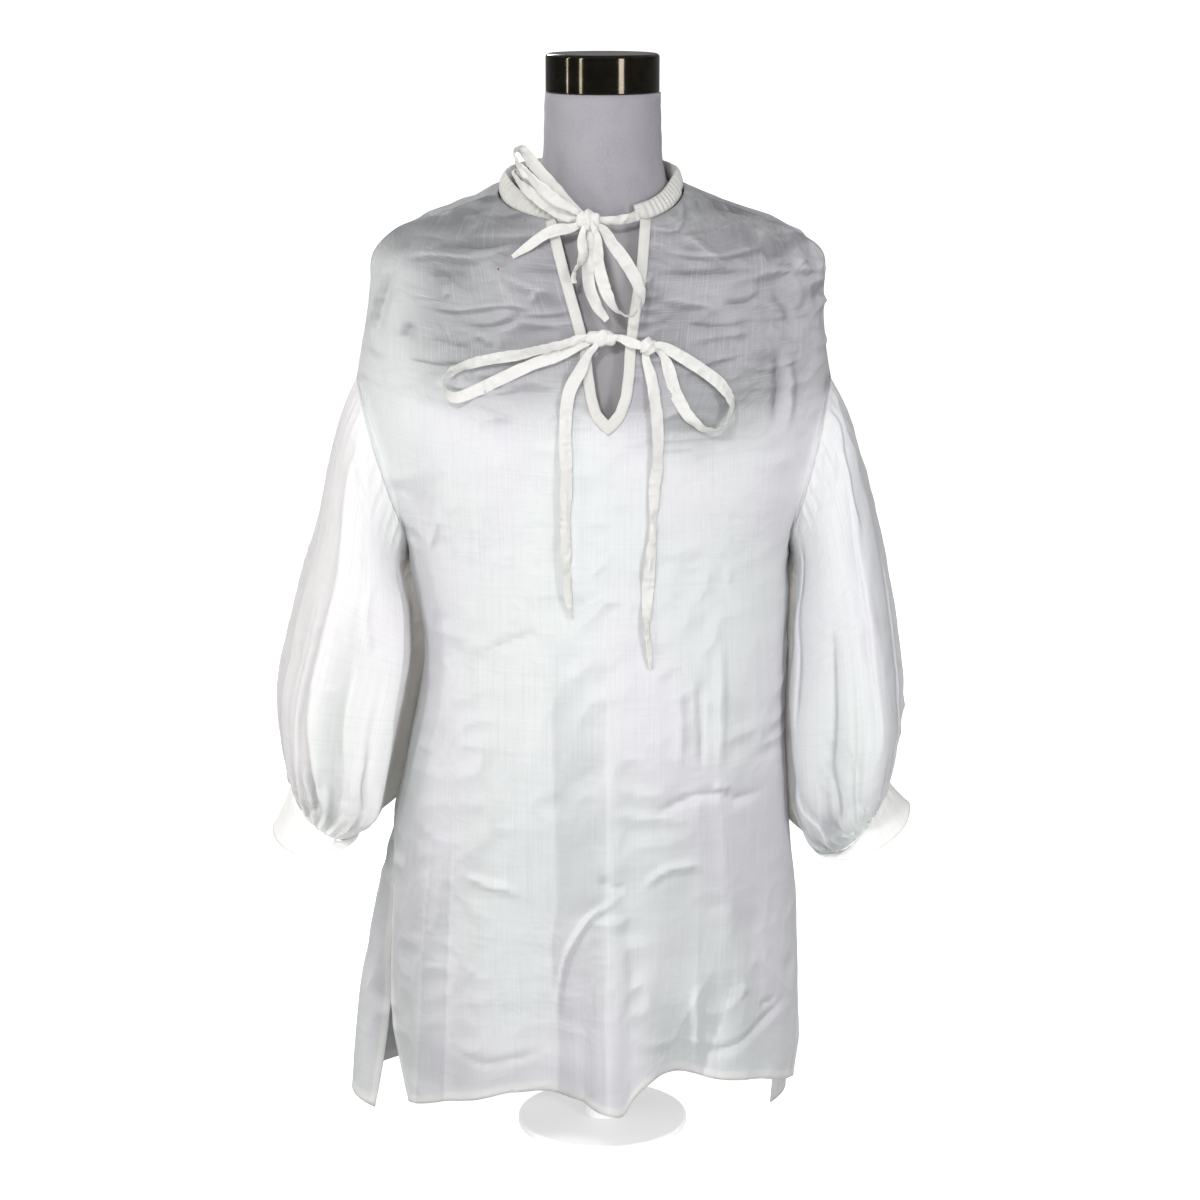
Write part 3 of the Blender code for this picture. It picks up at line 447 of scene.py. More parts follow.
clothLook = {
    "relief": 0.0010,
    "sheen": 0.15,
    "shine": 0.15,
    "bodyAlpha": 0.86,
    "sleeveAlpha": 0.82,
    "whiteBody": (0.825, 0.825, 0.835, 1),
    # painted light and shade: the left sleeve's white is brighter as if lit, the right one's
    # greyer and cooler as if shaded
    "litWhiteLeft": (0.955, 0.95, 0.94, 1),
    "shadedWhiteRight": (0.87, 0.885, 0.885, 1),
    # the warm colour of the sleeves' painted shade where they turn beside the body
    "shadeBeige": (0.88, 0.84, 0.73, 1),
    "ivory": (0.51, 0.498, 0.458, 1),
}
voileBody = makeCloth("voileBody", {"White": clothLook["whiteBody"]}, clothLook["bodyAlpha"])
marks = ((-0.0925, 0.842, 0.0011), (-0.0690, 0.882, 0.0007))  # x, z, radius of two red specks


def addMarks(material):
    tree = material.node_tree
    shader = tree.nodes["Principled BSDF"]
    colour = shader.inputs["Base Color"].links[0].from_socket
    place = addNode(tree, "ShaderNodeTexCoord").outputs["Object"]
    flat = addNode(tree, "ShaderNodeMapping")
    flat.inputs["Scale"].default_value = (1, 0, 1)
    tree.links.new(place, flat.inputs["Vector"])
    for x, z, radius in marks:
        far = addNode(tree, "ShaderNodeVectorMath", operation="DISTANCE")
        tree.links.new(flat.outputs[0], far.inputs[0])
        far.inputs[1].default_value = (x, 0, z)
        spot = ranged(tree, far.outputs["Value"], radius, 0.6 * radius)
        colour = mixColours(tree, spot, colour, (0.30, 0.05, 0.06, 1))
    tree.links.new(colour, shader.inputs["Base Color"])


addMarks(voileBody)
# the sleeve cloth as a lit copy and a shaded copy, with the warm painted shade as their backing
# colour
litVoileLeft = makeCloth("voileSleeveLeft", {"White": clothLook["litWhiteLeft"],
                                          "Backed": clothLook["shadeBeige"]},
                      clothLook["sleeveAlpha"])
shadedVoileRight = makeCloth("voileSleeveRight", {"White": clothLook["shadedWhiteRight"],
                                            "Backed": clothLook["shadeBeige"]},
                       clothLook["sleeveAlpha"])
voileBand = makeCloth("voileBand", {"White": clothLook["ivory"], "Close": 0.0, "Layers": 0.3,
                                    "Shade": 0.0, "Tint": 0.3, "Crumple": 0.5})
voileCuff = makeCloth("voileCuff", {"White": (0.93, 0.925, 0.90, 1), "Close": 0.0,
                                    "Layers": 0.2, "Shade": 0.0, "Tint": 0.3, "Crumple": 0.8})
tapeCloth = makeCloth("tapeCloth", {"White": (0.625, 0.617, 0.585, 1), "Close": 0.0,
                                    "Layers": 0.3, "Shade": 0.0, "Slubs": 0.5, "Tint": 0.2,
                                    "Crumple": 0.4})


def makeJersey():
    material, tree, shader = newMaterial("greyJersey", 0.9)
    place = addNode(tree, "ShaderNodeTexCoord").outputs["Object"]
    knit = stretchedNoise(tree, place, (1500, 1500, 420), 1.0)
    mottled = stretchedNoise(tree, place, (60, 60, 45), 3.0)
    colour = mixColours(tree, ranged(tree, mottled, 0.3, 0.7), (0.305, 0.292, 0.322, 1),
                        (0.345, 0.332, 0.360, 1))
    colour = mixColours(tree, ranged(tree, knit, 0.3, 0.7), colour, (0.36, 0.35, 0.38, 1))
    height = addNode(tree, "ShaderNodeSeparateXYZ")
    tree.links.new(place, height.inputs[0])
    colour = mixColours(tree, ranged(tree, height.outputs[2], 0.905, 0.865), colour,
                        (0.365, 0.348, 0.366, 1))
    tree.links.new(colour, shader.inputs["Base Color"])
    addRelief(tree, shader, knit, 0.0003, 0.5)
    shader.inputs["Sheen Weight"].default_value = 0.3
    return material


def makeBronze():
    material, tree, shader = newMaterial("darkBronze", 0.25, 1.0)
    place = addNode(tree, "ShaderNodeTexCoord").outputs["Object"]
    turned = stretchedNoise(tree, place, (6, 6, 2200), 2.0)
    worn = stretchedNoise(tree, place, (90, 90, 90), 3.0)
    colour = mixColours(tree, ranged(tree, worn, 0.3, 0.7), (0.040, 0.035, 0.026, 1),
                        (0.058, 0.050, 0.038, 1))
    tree.links.new(colour, shader.inputs["Base Color"])
    tree.links.new(ranged(tree, turned, 0.3, 0.7, 0.07, 0.12), shader.inputs["Roughness"])
    addRelief(tree, shader, turned, 0.00001, 0.1)
    return material


def makePlain(name, low, high, roughness):
    material, tree, shader = newMaterial(name, roughness)
    place = addNode(tree, "ShaderNodeTexCoord").outputs["Object"]
    speckle = stretchedNoise(tree, place, (300, 300, 300), 3.0)
    tree.links.new(mixColours(tree, ranged(tree, speckle, 0.3, 0.7), low, high),
                   shader.inputs["Base Color"])
    tree.links.new(ranged(tree, speckle, 0.3, 0.7, roughness - 0.06, roughness + 0.06),
                   shader.inputs["Roughness"])
    addRelief(tree, shader, speckle, 0.0001, 0.3)
    return material


def glowWhenSeen(tree, shader, strength):  # lit to the camera alone, so it reads as white
    seen = addNode(tree, "ShaderNodeLightPath").outputs["Is Camera Ray"]
    lit = (strength, strength, strength, 1)
    tree.links.new(mixColours(tree, seen, (0, 0, 0, 1), lit), shader.inputs["Emission Color"])
    shader.inputs["Emission Strength"].default_value = 1.0


greyJersey = makeJersey()
darkBronze = makeBronze()
whitePaint = makePlain("whitePaint", (0.82, 0.82, 0.82, 1), (0.86, 0.86, 0.86, 1), 0.45)
pearl = makePlain("pearlButton", (0.80, 0.79, 0.74, 1), (0.88, 0.87, 0.84, 1), 0.3)
print("materials made")

# Camera, floor and light

camera = {"place": (-0.0023, -2.7, 1.145), "tilt": 77, "lens": 88.56}
studio = {
    "floorColour": (0.62, 0.62, 0.62, 1), "floorGlow": 0.97, "standGlow": 0.50, "reach": 9.0,
    "bend": 2.0, "wallTop": 5.0, "room": 0.36,
    "lights": (  # name, place, aim, size, watts, colour
        ("keyLight", (-0.75, -2.4, 2.40), (0, 0, 0.50), (0.35, 0.35), 30, (0.985, 0.99, 1.0)),
        ("frontFill", (-0.35, -2.9, 0.95), (0, 0, 0.50), (0.5, 0.5), 11, (1.0, 0.995, 0.985)),
        ("leftStrip", (-2.1, -2.15, 1.5), (0, 0, 0.7), (0.28, 2.0), 21, (1.0, 0.985, 0.96)),
        ("rightFill", (1.75, -2.25, 1.0), (0, 0, 0.4), (0.5, 1.6), 29, (0.98, 0.985, 1.0)),
        ("backFill", (-0.9, 2.7, 2.0), (0, 0, 0.5), (0.9, 0.9), 34, (1.0, 1.0, 1.0)),
        ("edgeStrip", (-2.6, -0.7, 1.4), (0, 0, 0.7), (0.12, 1.7), 12, (1.0, 0.99, 0.97)),
    ),
}


def aim(obj, place, target):
    obj.location = place
    obj.rotation_euler = (Vector(target) - Vector(place)).to_track_quat("-Z", "Y").to_euler()


def makeCamera():
    data = bpy.data.cameras.new("camera")
    data.lens = camera["lens"]
    data.sensor_width = 36
    data.clip_end = 60
    obj = bpy.data.objects.new("camera", data)
    bpy.context.scene.collection.objects.link(obj)
    obj.location = camera["place"]
    obj.rotation_euler = (math.radians(camera["tilt"]), 0, 0)
    bpy.context.scene.camera = obj


def makeFloor():  # a round floor that sweeps up into a wall on every side
    profile = [(0.002, 0.0), (0.5 * studio["reach"], 0.0), (studio["reach"], 0.0)]
    for step in range(1, 13):
        angle = math.radians(7.5 * step)
        profile.append((studio["reach"] + studio["bend"] * math.sin(angle),
                        studio["bend"] * (1 - math.cos(angle))))
    profile.append((studio["reach"] + studio["bend"], studio["wallTop"]))
    turns = np.linspace(0, 2 * np.pi, 96, endpoint=False)
    points = [(radius * math.cos(turn), radius * math.sin(turn), height)
              for radius, height in profile for turn in turns]
    material, tree, shader = newMaterial("paleFloor", 0.9)
    shader.inputs["Base Color"].default_value = studio["floorColour"]
    glowWhenSeen(tree, shader, studio["floorGlow"])
    floor = addMesh("floor", points, gridFaces(len(profile), len(turns), closed=True), material)


def makeLights():
    world = bpy.data.worlds.new("room")
    world.use_nodes = True
    back = world.node_tree.nodes["Background"]
    back.inputs["Color"].default_value = (1, 1, 1, 1)
    back.inputs["Strength"].default_value = studio["room"]
    bpy.context.scene.world = world
    for name, place, target, size, watts, colour in studio["lights"]:
        data = bpy.data.lights.new(name, "AREA")
        data.shape = "RECTANGLE"
        data.size, data.size_y = size
        data.energy = watts
        data.color = colour
        obj = bpy.data.objects.new(name, data)
        obj.visible_glossy = name not in ("keyLight", "frontFill")  # no glint on the cap
        bpy.context.scene.collection.objects.link(obj)
        aim(obj, place, target)


# the stand's paint glows to the camera too: painted light that whitens it against the floor
paint = whitePaint.node_tree
glowWhenSeen(paint, paint.nodes["Principled BSDF"], studio["standGlow"])
makeCamera()
makeFloor()
makeLights()
bpy.context.scene.view_settings.view_transform = "Standard"
print("camera, floor and light made")

# Body sections: half rows as left edge, middle and right edge, then the centre's depth

garment = {
    "wall": 0.0008, "cell": 0.0027, "skirtCell": 0.0046, "columns": 88,
    "calm": 300, "keyholeTip": (0.005, 0.713),
    "frontSlitTop": 0.250, "backSlitTop": 0.285,
}
armhole = {  # front and back: the middle's height and depth at the top, and how it deepens
    "rows": 42, "bottom": 0.590, "front": (0.713, -0.1245, -0.0035),
    "back": (0.724, 0.106, -0.002),
}
shoulderLevels = (  # left x, left z, right x, right z, front y, front z, back y, back z
    (-0.095, 0.902, 0.074, 0.905, -0.070, 0.880, 0.066, 0.915),
    (-0.118, 0.894, 0.105, 0.894, -0.078, 0.867, 0.074, 0.903),
    (-0.150, 0.882, 0.150, 0.878, -0.086, 0.852, 0.083, 0.888),
    (-0.190, 0.868, 0.183, 0.863, -0.094, 0.835, 0.091, 0.870),
    (-0.208, 0.850, 0.200, 0.850, -0.102, 0.815, 0.098, 0.845),
    (-0.212, 0.812, 0.202, 0.812, -0.110, 0.790, 0.104, 0.812),
    (-0.218, 0.778, 0.203, 0.778, -0.117, 0.760, 0.106, 0.772),
    (-0.222, 0.755, 0.206, 0.755, -0.121, 0.735, 0.106, 0.748),
)
waistLevels = (
    (-0.180, 0.555, 0.173, 0.560, -0.128, 0.562, 0.104, 0.560),
    (-0.166, 0.500, 0.174, 0.500, -0.129, 0.500, 0.104, 0.500),
    (-0.166, 0.460, 0.173, 0.450, -0.130, 0.455, 0.106, 0.455),
    (-0.179, 0.404, 0.171, 0.404, -0.132, 0.404, 0.109, 0.404),
    (-0.189, 0.355, 0.174, 0.355, -0.134, 0.355, 0.112, 0.355),
    (-0.198, 0.311, 0.176, 0.311, -0.135, 0.311, 0.114, 0.311),
)
frontSkirt = (  # left x, y, z, right x, y, z, middle y, z, centre's depth
    (-0.197, -0.012, 0.250, 0.183, -0.010, 0.250, -0.136, 0.250, 0.0),
    (-0.199, -0.022, 0.190, 0.185, -0.016, 0.190, -0.138, 0.190, 0.0),
    (-0.199, -0.030, 0.130, 0.186, -0.022, 0.130, -0.140, 0.130, 0.0),
    (-0.190, -0.042, 0.085, 0.187, -0.028, 0.095, -0.141, 0.095, 0.0),
    (-0.181, -0.050, 0.045, 0.182, -0.035, 0.060, -0.142, 0.062, 0.0),
)
backSkirt = (
    (-0.193, 0.002, 0.285, 0.169, 0.006, 0.285, 0.115, 0.285, 0.030),
    (-0.197, 0.002, 0.235, 0.169, 0.008, 0.235, 0.117, 0.235, 0.034),
    (-0.202, 0.000, 0.180, 0.170, 0.008, 0.180, 0.118, 0.180, 0.037),
    (-0.204, -0.001, 0.125, 0.169, 0.008, 0.125, 0.120, 0.125, 0.040),
    (-0.211, 0.000, 0.070, 0.168, 0.007, 0.075, 0.121, 0.080, 0.040),
    (-0.222, 0.004, 0.012, 0.164, 0.006, 0.016, 0.122, 0.040, 0.040),
)
frontHem = ((-0.181, 0.042), (-0.110, 0.0735), (-0.063, 0.084), (-0.023, 0.081), (0.002, 0.0715),
            (0.014, 0.067), (0.026, 0.079), (0.044, 0.097), (0.060, 0.104), (0.084, 0.1015),
            (0.135, 0.086), (0.182, 0.061))
keyhole = (  # height, left edge, right edge
    (0.713, 0.0050, 0.0050), (0.721, -0.0020, 0.0115), (0.735, -0.006, 0.0165),
    (0.755, -0.0090, 0.0190), (0.775, -0.011, 0.020), (0.800, -0.018, 0.023),
    (0.841, -0.030, 0.030), (0.885, -0.042, 0.034))
leftSleeve = (  # outer x, outer z, inner x, inner z, half depth, drop of its front
    (-0.226, 0.733, -0.179, 0.582, 0.058, 0), (-0.246, 0.684, -0.185, 0.556, 0.070, 0),
    (-0.265, 0.605, -0.174, 0.515, 0.079, 0), (-0.289, 0.525, -0.171, 0.468, 0.085, 0),
    (-0.308, 0.440, -0.181, 0.416, 0.086, 0), (-0.307, 0.390, -0.194, 0.362, 0.078, 0),
    (-0.303, 0.360, -0.203, 0.325, 0.062, 0.005), (-0.299, 0.349, -0.220, 0.306, 0.046, 0.010),
    (-0.294, 0.342, -0.239, 0.297, 0.034, 0.014))
rightSleeve = (
    (0.210, 0.733, 0.172, 0.582, 0.058, 0), (0.229, 0.695, 0.180, 0.556, 0.070, 0),
    (0.252, 0.620, 0.179, 0.518, 0.079, 0), (0.272, 0.530, 0.178, 0.468, 0.085, 0),
    (0.286, 0.430, 0.176, 0.400, 0.085, 0), (0.283, 0.385, 0.179, 0.332, 0.076, 0),
    (0.278, 0.360, 0.190, 0.297, 0.060, 0.003), (0.274, 0.350, 0.206, 0.281, 0.045, 0.006),
    (0.270, 0.345, 0.222, 0.281, 0.032, 0.009))


def middleX(side):
    return garment["keyholeTip"][0] if side < 0 else 0.0


def levelRow(level, side):
    leftX, leftZ, rightX, rightZ, *middles = level
    y, z = middles[:2] if side < 0 else middles[2:]
    return (leftX, 0.0, leftZ, middleX(side), y, z, rightX, 0.0, rightZ, 0.0)


def skirtRow(row, side):
    return (*row[0:3], middleX(side), *row[6:8], *row[3:6], row[8])


def ringPoints(ring, angles):  # angle 0 at the outer point, 90 degrees at the front
    outerX, outerZ, innerX, innerZ, depth, drop = np.moveaxis(np.asarray(ring, float), -1, 0)
    cosine, sine = np.cos(angles), np.sin(angles)
    return np.stack([(outerX + innerX) / 2 + (outerX - innerX) / 2 * cosine,
                     -depth * sine,
                     (outerZ + innerZ) / 2 + (outerZ - innerZ) / 2 * cosine
                     - drop * np.where(sine > 0, sine, 0.4 * sine)], axis=-1)


def armholeRows(side):
    rows = []
    top, depth, deeper = armhole["front" if side < 0 else "back"]
    for share in np.linspace(0, 1, armhole["rows"] + 1):
        left = ringPoints(leftSleeve[0], math.pi * share)
        right = ringPoints(rightSleeve[0], math.pi * share)
        left[1], right[1] = side * abs(left[1]), side * abs(right[1])
        middle = (middleX(side), depth + deeper * share, top + (armhole["bottom"] - top) * share)
        rows.append((*left, *middle, *right, 0.0))
    return rows


def panelRows(side):  # from the neck edge down to the hem, about one cell apart
    arm = armholeRows(side)
    upper = [levelRow(level, side) for level in shoulderLevels] + [arm[0]]
    skirt = frontSkirt if side < 0 else backSkirt
    lower = [arm[-1]] + [levelRow(level, side) for level in waistLevels]
    lower += [skirtRow(row, side) for row in skirt]
    return np.vstack([smoothRows(upper, garment["cell"]), arm[1:-1],
                      smoothRows(lower, garment["skirtCell"])])


def rowArcs(rows, side):  # the arc of one half of each row: its edge, depth, angle and width
    edge = rows[:, 0:3] if side < 0 else rows[:, 6:9]
    depth = rows[:, 4] - rows[:, 9]
    endAngle = np.arccos(np.clip((edge[:, 1] - rows[:, 9]) / depth, -1, 1))
    return edge, depth, endAngle, (edge[:, 0] - rows[:, 3]) / np.sin(endAngle)


def halfPoints(rows, shares, side):  # one half of each row: share 0 in the middle, 1 at the edge
    middle, centre = rows[:, 3:6], rows[:, 9]
    edge, depth, endAngle, halfWidth = rowArcs(rows, side)
    angle = endAngle[:, None] * shares
    rise = (1 - np.cos(angle)) / (1 - np.cos(endAngle))[:, None]
    return np.stack([middle[:, 0:1] + halfWidth[:, None] * np.sin(angle),
                     centre[:, None] + depth[:, None] * np.cos(angle),
                     middle[:, 2:3] + (edge[:, 2:3] - middle[:, 2:3]) * rise], axis=-1)


def openingShares(rows, side):  # how far round each row the keyhole's edge lies
    heights, lefts, rights = np.array(keyhole).T
    edgeX = np.interp(rows[:, 5], heights, lefts if side < 0 else rights)
    _, _, endAngle, halfWidth = rowArcs(rows, side)
    share = np.arcsin(np.clip((edgeX - rows[:, 3]) / halfWidth, 0, 1)) / endAngle
    return np.where(rows[:, 5] > garment["keyholeTip"][1], share, 0.0)


def calmRows(points, heights, rounds, hold):
    # evens out the run of each column of points, by the true distance between rows
    gaps = np.maximum(np.abs(np.diff(heights)), 1e-4)[:, None, None]
    before, after = gaps[:-1], gaps[1:]
    rate = 0.5 * np.minimum(1.0, garment["cell"] ** 2 / (before * after)) * hold[None, :, None]
    for _ in range(rounds):
        level = (points[:-2] * after + points[2:] * before) / (before + after)
        points[1:-1] += rate * (level - points[1:-1])
    return points


def metres(points):  # cloth coordinates: across each row from its first point, and down
    across = np.linalg.norm(np.diff(points, axis=1), axis=2)
    down = np.linalg.norm(np.diff(points, axis=0), axis=2)
    u = np.concatenate([np.zeros((len(points), 1)), np.cumsum(across, axis=1)], axis=1)
    v = np.concatenate([np.zeros((1, points.shape[1])), np.cumsum(down, axis=0)], axis=0)
    return np.stack([u, -np.repeat(v.mean(axis=1, keepdims=True), v.shape[1], axis=1)],
                    axis=-1)


def panelHalf(rows, start, base, half, side, folds):
    # one half of a panel as a grid, start being where its first column lies on each row
    points = halfPoints(rows, start + (1 - start) * base, half)
    hold = eased((base[0] - 0.10) / 0.35) * (1 - base[0] ** 14)
    points = calmRows(points, rows[:, 5], garment["calm"], hold)
    addFolds(points, folds, side)
    if side < 0:
        settleOnHem(points, rows)
    return points


def addFolds(points, folds, side):
    # broad folds that fall to the hem: x, width, out, top and drift sideways over the height
    out = np.zeros(points.shape[:-1])
    for x, width, depth, top, drift in folds:
        fall = (top - points[..., 2]) / top
        middle = x - drift * (1 - fall)
        out += np.where(fall > 0, depth * eased(fall * 1.2)
                        * bump(points[..., 0] - middle, width), 0)
    points[..., 1] += side * out


def settleOnHem(points, rows):
    top, hem = frontSkirt[0][7], frontSkirt[-1][7]
    fall = eased((top - rows[:, 5]) / (top - hem))[:, None]
    xs, heights = smoothCurve(frontHem, 4).T
    line = np.interp(points[..., 0], xs, heights)
    points[..., 2] += fall * (line - hem - (points[..., 2] - rows[:, 5:6]))


formTree = treeOf(nodes["form_torso"])


def distanceToForm(points):
    return np.array([formTree.find_nearest(Vector(p))[3] for p in points])


# Front and back panels

frontFolds = (  # x, width, out, top, drift
    (0.004, 0.022, 0.009, 0.520, 0.0), (-0.050, 0.030, -0.006, 0.500, 0.004),
    (-0.120, 0.034, 0.008, 0.460, -0.030), (0.066, 0.034, -0.007, 0.400, -0.020),
    (0.125, 0.032, 0.008, 0.430, 0.020))
backFolds = (
    (-0.135, 0.036, 0.010, 0.480, 0.020), (-0.060, 0.034, -0.009, 0.520, -0.010),
    (0.010, 0.034, 0.010, 0.560, 0.010), (0.085, 0.036, -0.008, 0.470, 0.015),
    (0.135, 0.030, 0.008, 0.440, -0.010))
frontCreases = (  # width, depth and path
    # chest, left of the keyhole
    (0.009, -0.0016, (-0.140, 0.883), (-0.117, 0.886), (-0.092, 0.892)),
    (0.004, -0.0014, (-0.131, 0.860), (-0.104, 0.859), (-0.077, 0.864)),
    (0.005, -0.0012, (-0.155, 0.833), (-0.133, 0.834), (-0.111, 0.834)),
    (0.006, 0.0016, (-0.108, 0.849), (-0.088, 0.825), (-0.069, 0.801)),
    (0.006, 0.0014, (-0.102, 0.841), (-0.062, 0.826), (-0.038, 0.820)),
    (0.004, 0.0010, (-0.142, 0.826), (-0.134, 0.816)),
    (0.004, -0.0016, (-0.123, 0.791), (-0.098, 0.792), (-0.069, 0.801)),
    (0.004, 0.0010, (-0.062, 0.814), (-0.053, 0.826)),
    (0.005, 0.0012, (-0.115, 0.790), (-0.094, 0.776)),
    (0.005, -0.0012, (-0.156, 0.782), (-0.138, 0.776), (-0.108, 0.773)),
    (0.006, -0.0015, (-0.170, 0.793), (-0.177, 0.775)),
    (0.007, -0.0018, (-0.188, 0.832), (-0.199, 0.801), (-0.204, 0.775)),
    # chest, right of the keyhole
    (0.006, -0.0014, (0.093, 0.891), (0.130, 0.884), (0.165, 0.877)),
    (0.005, 0.0016, (0.069, 0.871), (0.091, 0.854), (0.113, 0.839)),
    (0.005, 0.0012, (0.139, 0.871), (0.157, 0.847)),
    (0.004, -0.0015, (0.043, 0.838), (0.099, 0.837), (0.157, 0.837)),
    (0.005, 0.0012, (0.048, 0.818), (0.089, 0.812), (0.101, 0.801)),
    (0.005, -0.0012, (0.104, 0.812), (0.126, 0.812), (0.147, 0.822)),
    (0.005, 0.0012, (0.073, 0.780), (0.088, 0.784), (0.134, 0.788)),
    (0.006, -0.0014, (0.149, 0.820), (0.164, 0.801), (0.164, 0.786)),
    (0.004, 0.0010, (0.036, 0.829), (0.046, 0.838)),
    (0.006, -0.0018, (0.155, 0.773), (0.159, 0.731), (0.155, 0.699)),
    (0.005, 0.0014, (0.165, 0.766), (0.170, 0.731), (0.167, 0.697)),
    (0.006, 0.0014, (0.172, 0.847), (0.185, 0.829)),
    (0.0022, 0.0007, (0.034, 0.877), (0.068, 0.874), (0.072, 0.905)),
    (0.003, 0.0011, (-0.176, 0.846), (-0.140, 0.851), (-0.104, 0.846)),
    (0.003, 0.0011, (-0.168, 0.812), (-0.130, 0.806), (-0.086, 0.812), (-0.052, 0.806)),
    (0.003, -0.0010, (-0.182, 0.764), (-0.150, 0.757), (-0.112, 0.761)),
    (0.003, 0.0010, (-0.146, 0.744), (-0.104, 0.736), (-0.066, 0.741)),
    (0.003, 0.0011, (0.052, 0.857), (0.098, 0.851), (0.150, 0.858)),
    (0.003, -0.0010, (0.060, 0.799), (0.104, 0.792), (0.140, 0.797)),
    (0.003, 0.0010, (0.120, 0.760), (0.150, 0.754), (0.182, 0.762)),
    (0.003, 0.0010, (0.070, 0.752), (0.096, 0.764), (0.128, 0.770)),
    # the pressed folds and the creases of the body
    (0.006, -0.0009, (-0.111, 0.495), (-0.078, 0.511), (-0.050, 0.522)),
    (0.004, 0.0007, (-0.012, 0.574), (0.004, 0.586)),
    (0.004, 0.0009, (-0.146, 0.622), (-0.151, 0.604), (-0.156, 0.584)),
    (0.004, 0.0008, (0.111, 0.576), (0.118, 0.562)),
    (0.006, 0.0016, (0.069, 0.487), (0.071, 0.392)),
    (0.005, -0.0015, (0.088, 0.479), (0.091, 0.386)),
    (0.006, 0.0015, (0.107, 0.516), (0.106, 0.376)),
    (0.004, 0.0017, (0.021, 0.286), (-0.016, 0.248), (-0.034, 0.206), (-0.039, 0.152)),
    (0.005, -0.0014, (0.000, 0.300), (0.009, 0.287), (0.021, 0.286)),
    (0.006, 0.0016, (-0.131, 0.289), (-0.116, 0.283), (-0.089, 0.279), (-0.072, 0.271)),
    (0.006, 0.0014, (0.034, 0.283), (0.059, 0.300), (0.095, 0.300)),
    (0.006, -0.0015, (0.039, 0.347), (0.073, 0.364), (0.108, 0.367), (0.123, 0.358),
     (0.161, 0.361)),
    (0.005, 0.0014, (0.100, 0.376), (0.115, 0.367)),
    (0.006, -0.0007, (-0.147, 0.117), (-0.110, 0.109), (-0.073, 0.118), (-0.045, 0.128)),
    (0.007, -0.0016, (0.091, 0.128), (0.125, 0.128), (0.153, 0.141), (0.176, 0.155)),
    (0.006, 0.0026, (0.088, 0.190), (0.090, 0.110)),
    (0.005, 0.0014, (0.125, 0.183), (0.130, 0.170)),
    (0.005, -0.0012, (0.144, 0.155), (0.164, 0.155)),
)
backCreases = (
    (0.008, -0.0018, (-0.120, 0.852), (-0.060, 0.838), (0.010, 0.842)),
    (0.006, 0.0015, (0.040, 0.862), (0.085, 0.846), (0.140, 0.850)),
    (0.005, -0.0014, (-0.150, 0.800), (-0.110, 0.787), (-0.070, 0.792)),
    (0.006, 0.0016, (0.060, 0.800), (0.105, 0.778), (0.150, 0.786)),
    (0.007, -0.0018, (-0.172, 0.760), (-0.160, 0.700), (-0.165, 0.650)),
    (0.007, 0.0018, (0.166, 0.750), (0.155, 0.700), (0.160, 0.640)),
    (0.006, 0.0014, (-0.030, 0.720), (0.020, 0.705), (0.070, 0.712)),
    (0.009, -0.0020, (-0.140, 0.560), (-0.095, 0.545), (-0.050, 0.552)),
    (0.006, 0.0016, (-0.090, 0.500), (-0.086, 0.420), (-0.092, 0.360)),
    (0.006, 0.0016, (0.105, 0.510), (0.112, 0.440), (0.108, 0.360)),
    (0.006, -0.0016, (-0.150, 0.330), (-0.105, 0.318), (-0.060, 0.322)),
    (0.005, 0.0016, (0.030, 0.300), (0.070, 0.285), (0.120, 0.290)),
    (0.008, -0.0034, (-0.110, 0.090), (-0.090, 0.160), (-0.060, 0.215)),
    (0.006, 0.0020, (0.100, 0.220), (0.104, 0.150), (0.098, 0.090)),
    (0.006, -0.0016, (0.020, 0.140), (0.060, 0.128), (0.100, 0.134)),
)
frontPleats = (  # valley line and ridge line as height and x, then height, fall, top, painted shade
    (((0.06, -0.040), (0.155, -0.040), (0.223, -0.047), (0.268, -0.040), (0.50, -0.047)),
     ((0.06, 0.004), (0.50, 0.003)), 0.0080, 0.050, 0.530, 0.30),
    (((0.06, -0.150), (0.30, -0.140)), ((0.06, -0.172), (0.289, -0.158)),
     0.0060, 0.030, 0.340, 0.35),
    (((0.08, 0.035), (0.203, 0.104)), ((0.08, 0.088), (0.19, 0.118)),
     0.0075, 0.040, 0.240, 0.45),
    (((0.35, 0.088), (0.50, 0.086)), ((0.35, 0.106), (0.50, 0.107)),
     0.0030, 0.020, 0.560, 0.16))
backPleats = (
    (((0.06, 0.050), (0.50, 0.052)), ((0.06, 0.000), (0.50, -0.002)),
     0.0085, 0.055, 0.560, 0.30),
    (((0.06, -0.100), (0.30, -0.095)), ((0.06, -0.128), (0.30, -0.120)),
     0.0055, 0.030, 0.400, 0.30))
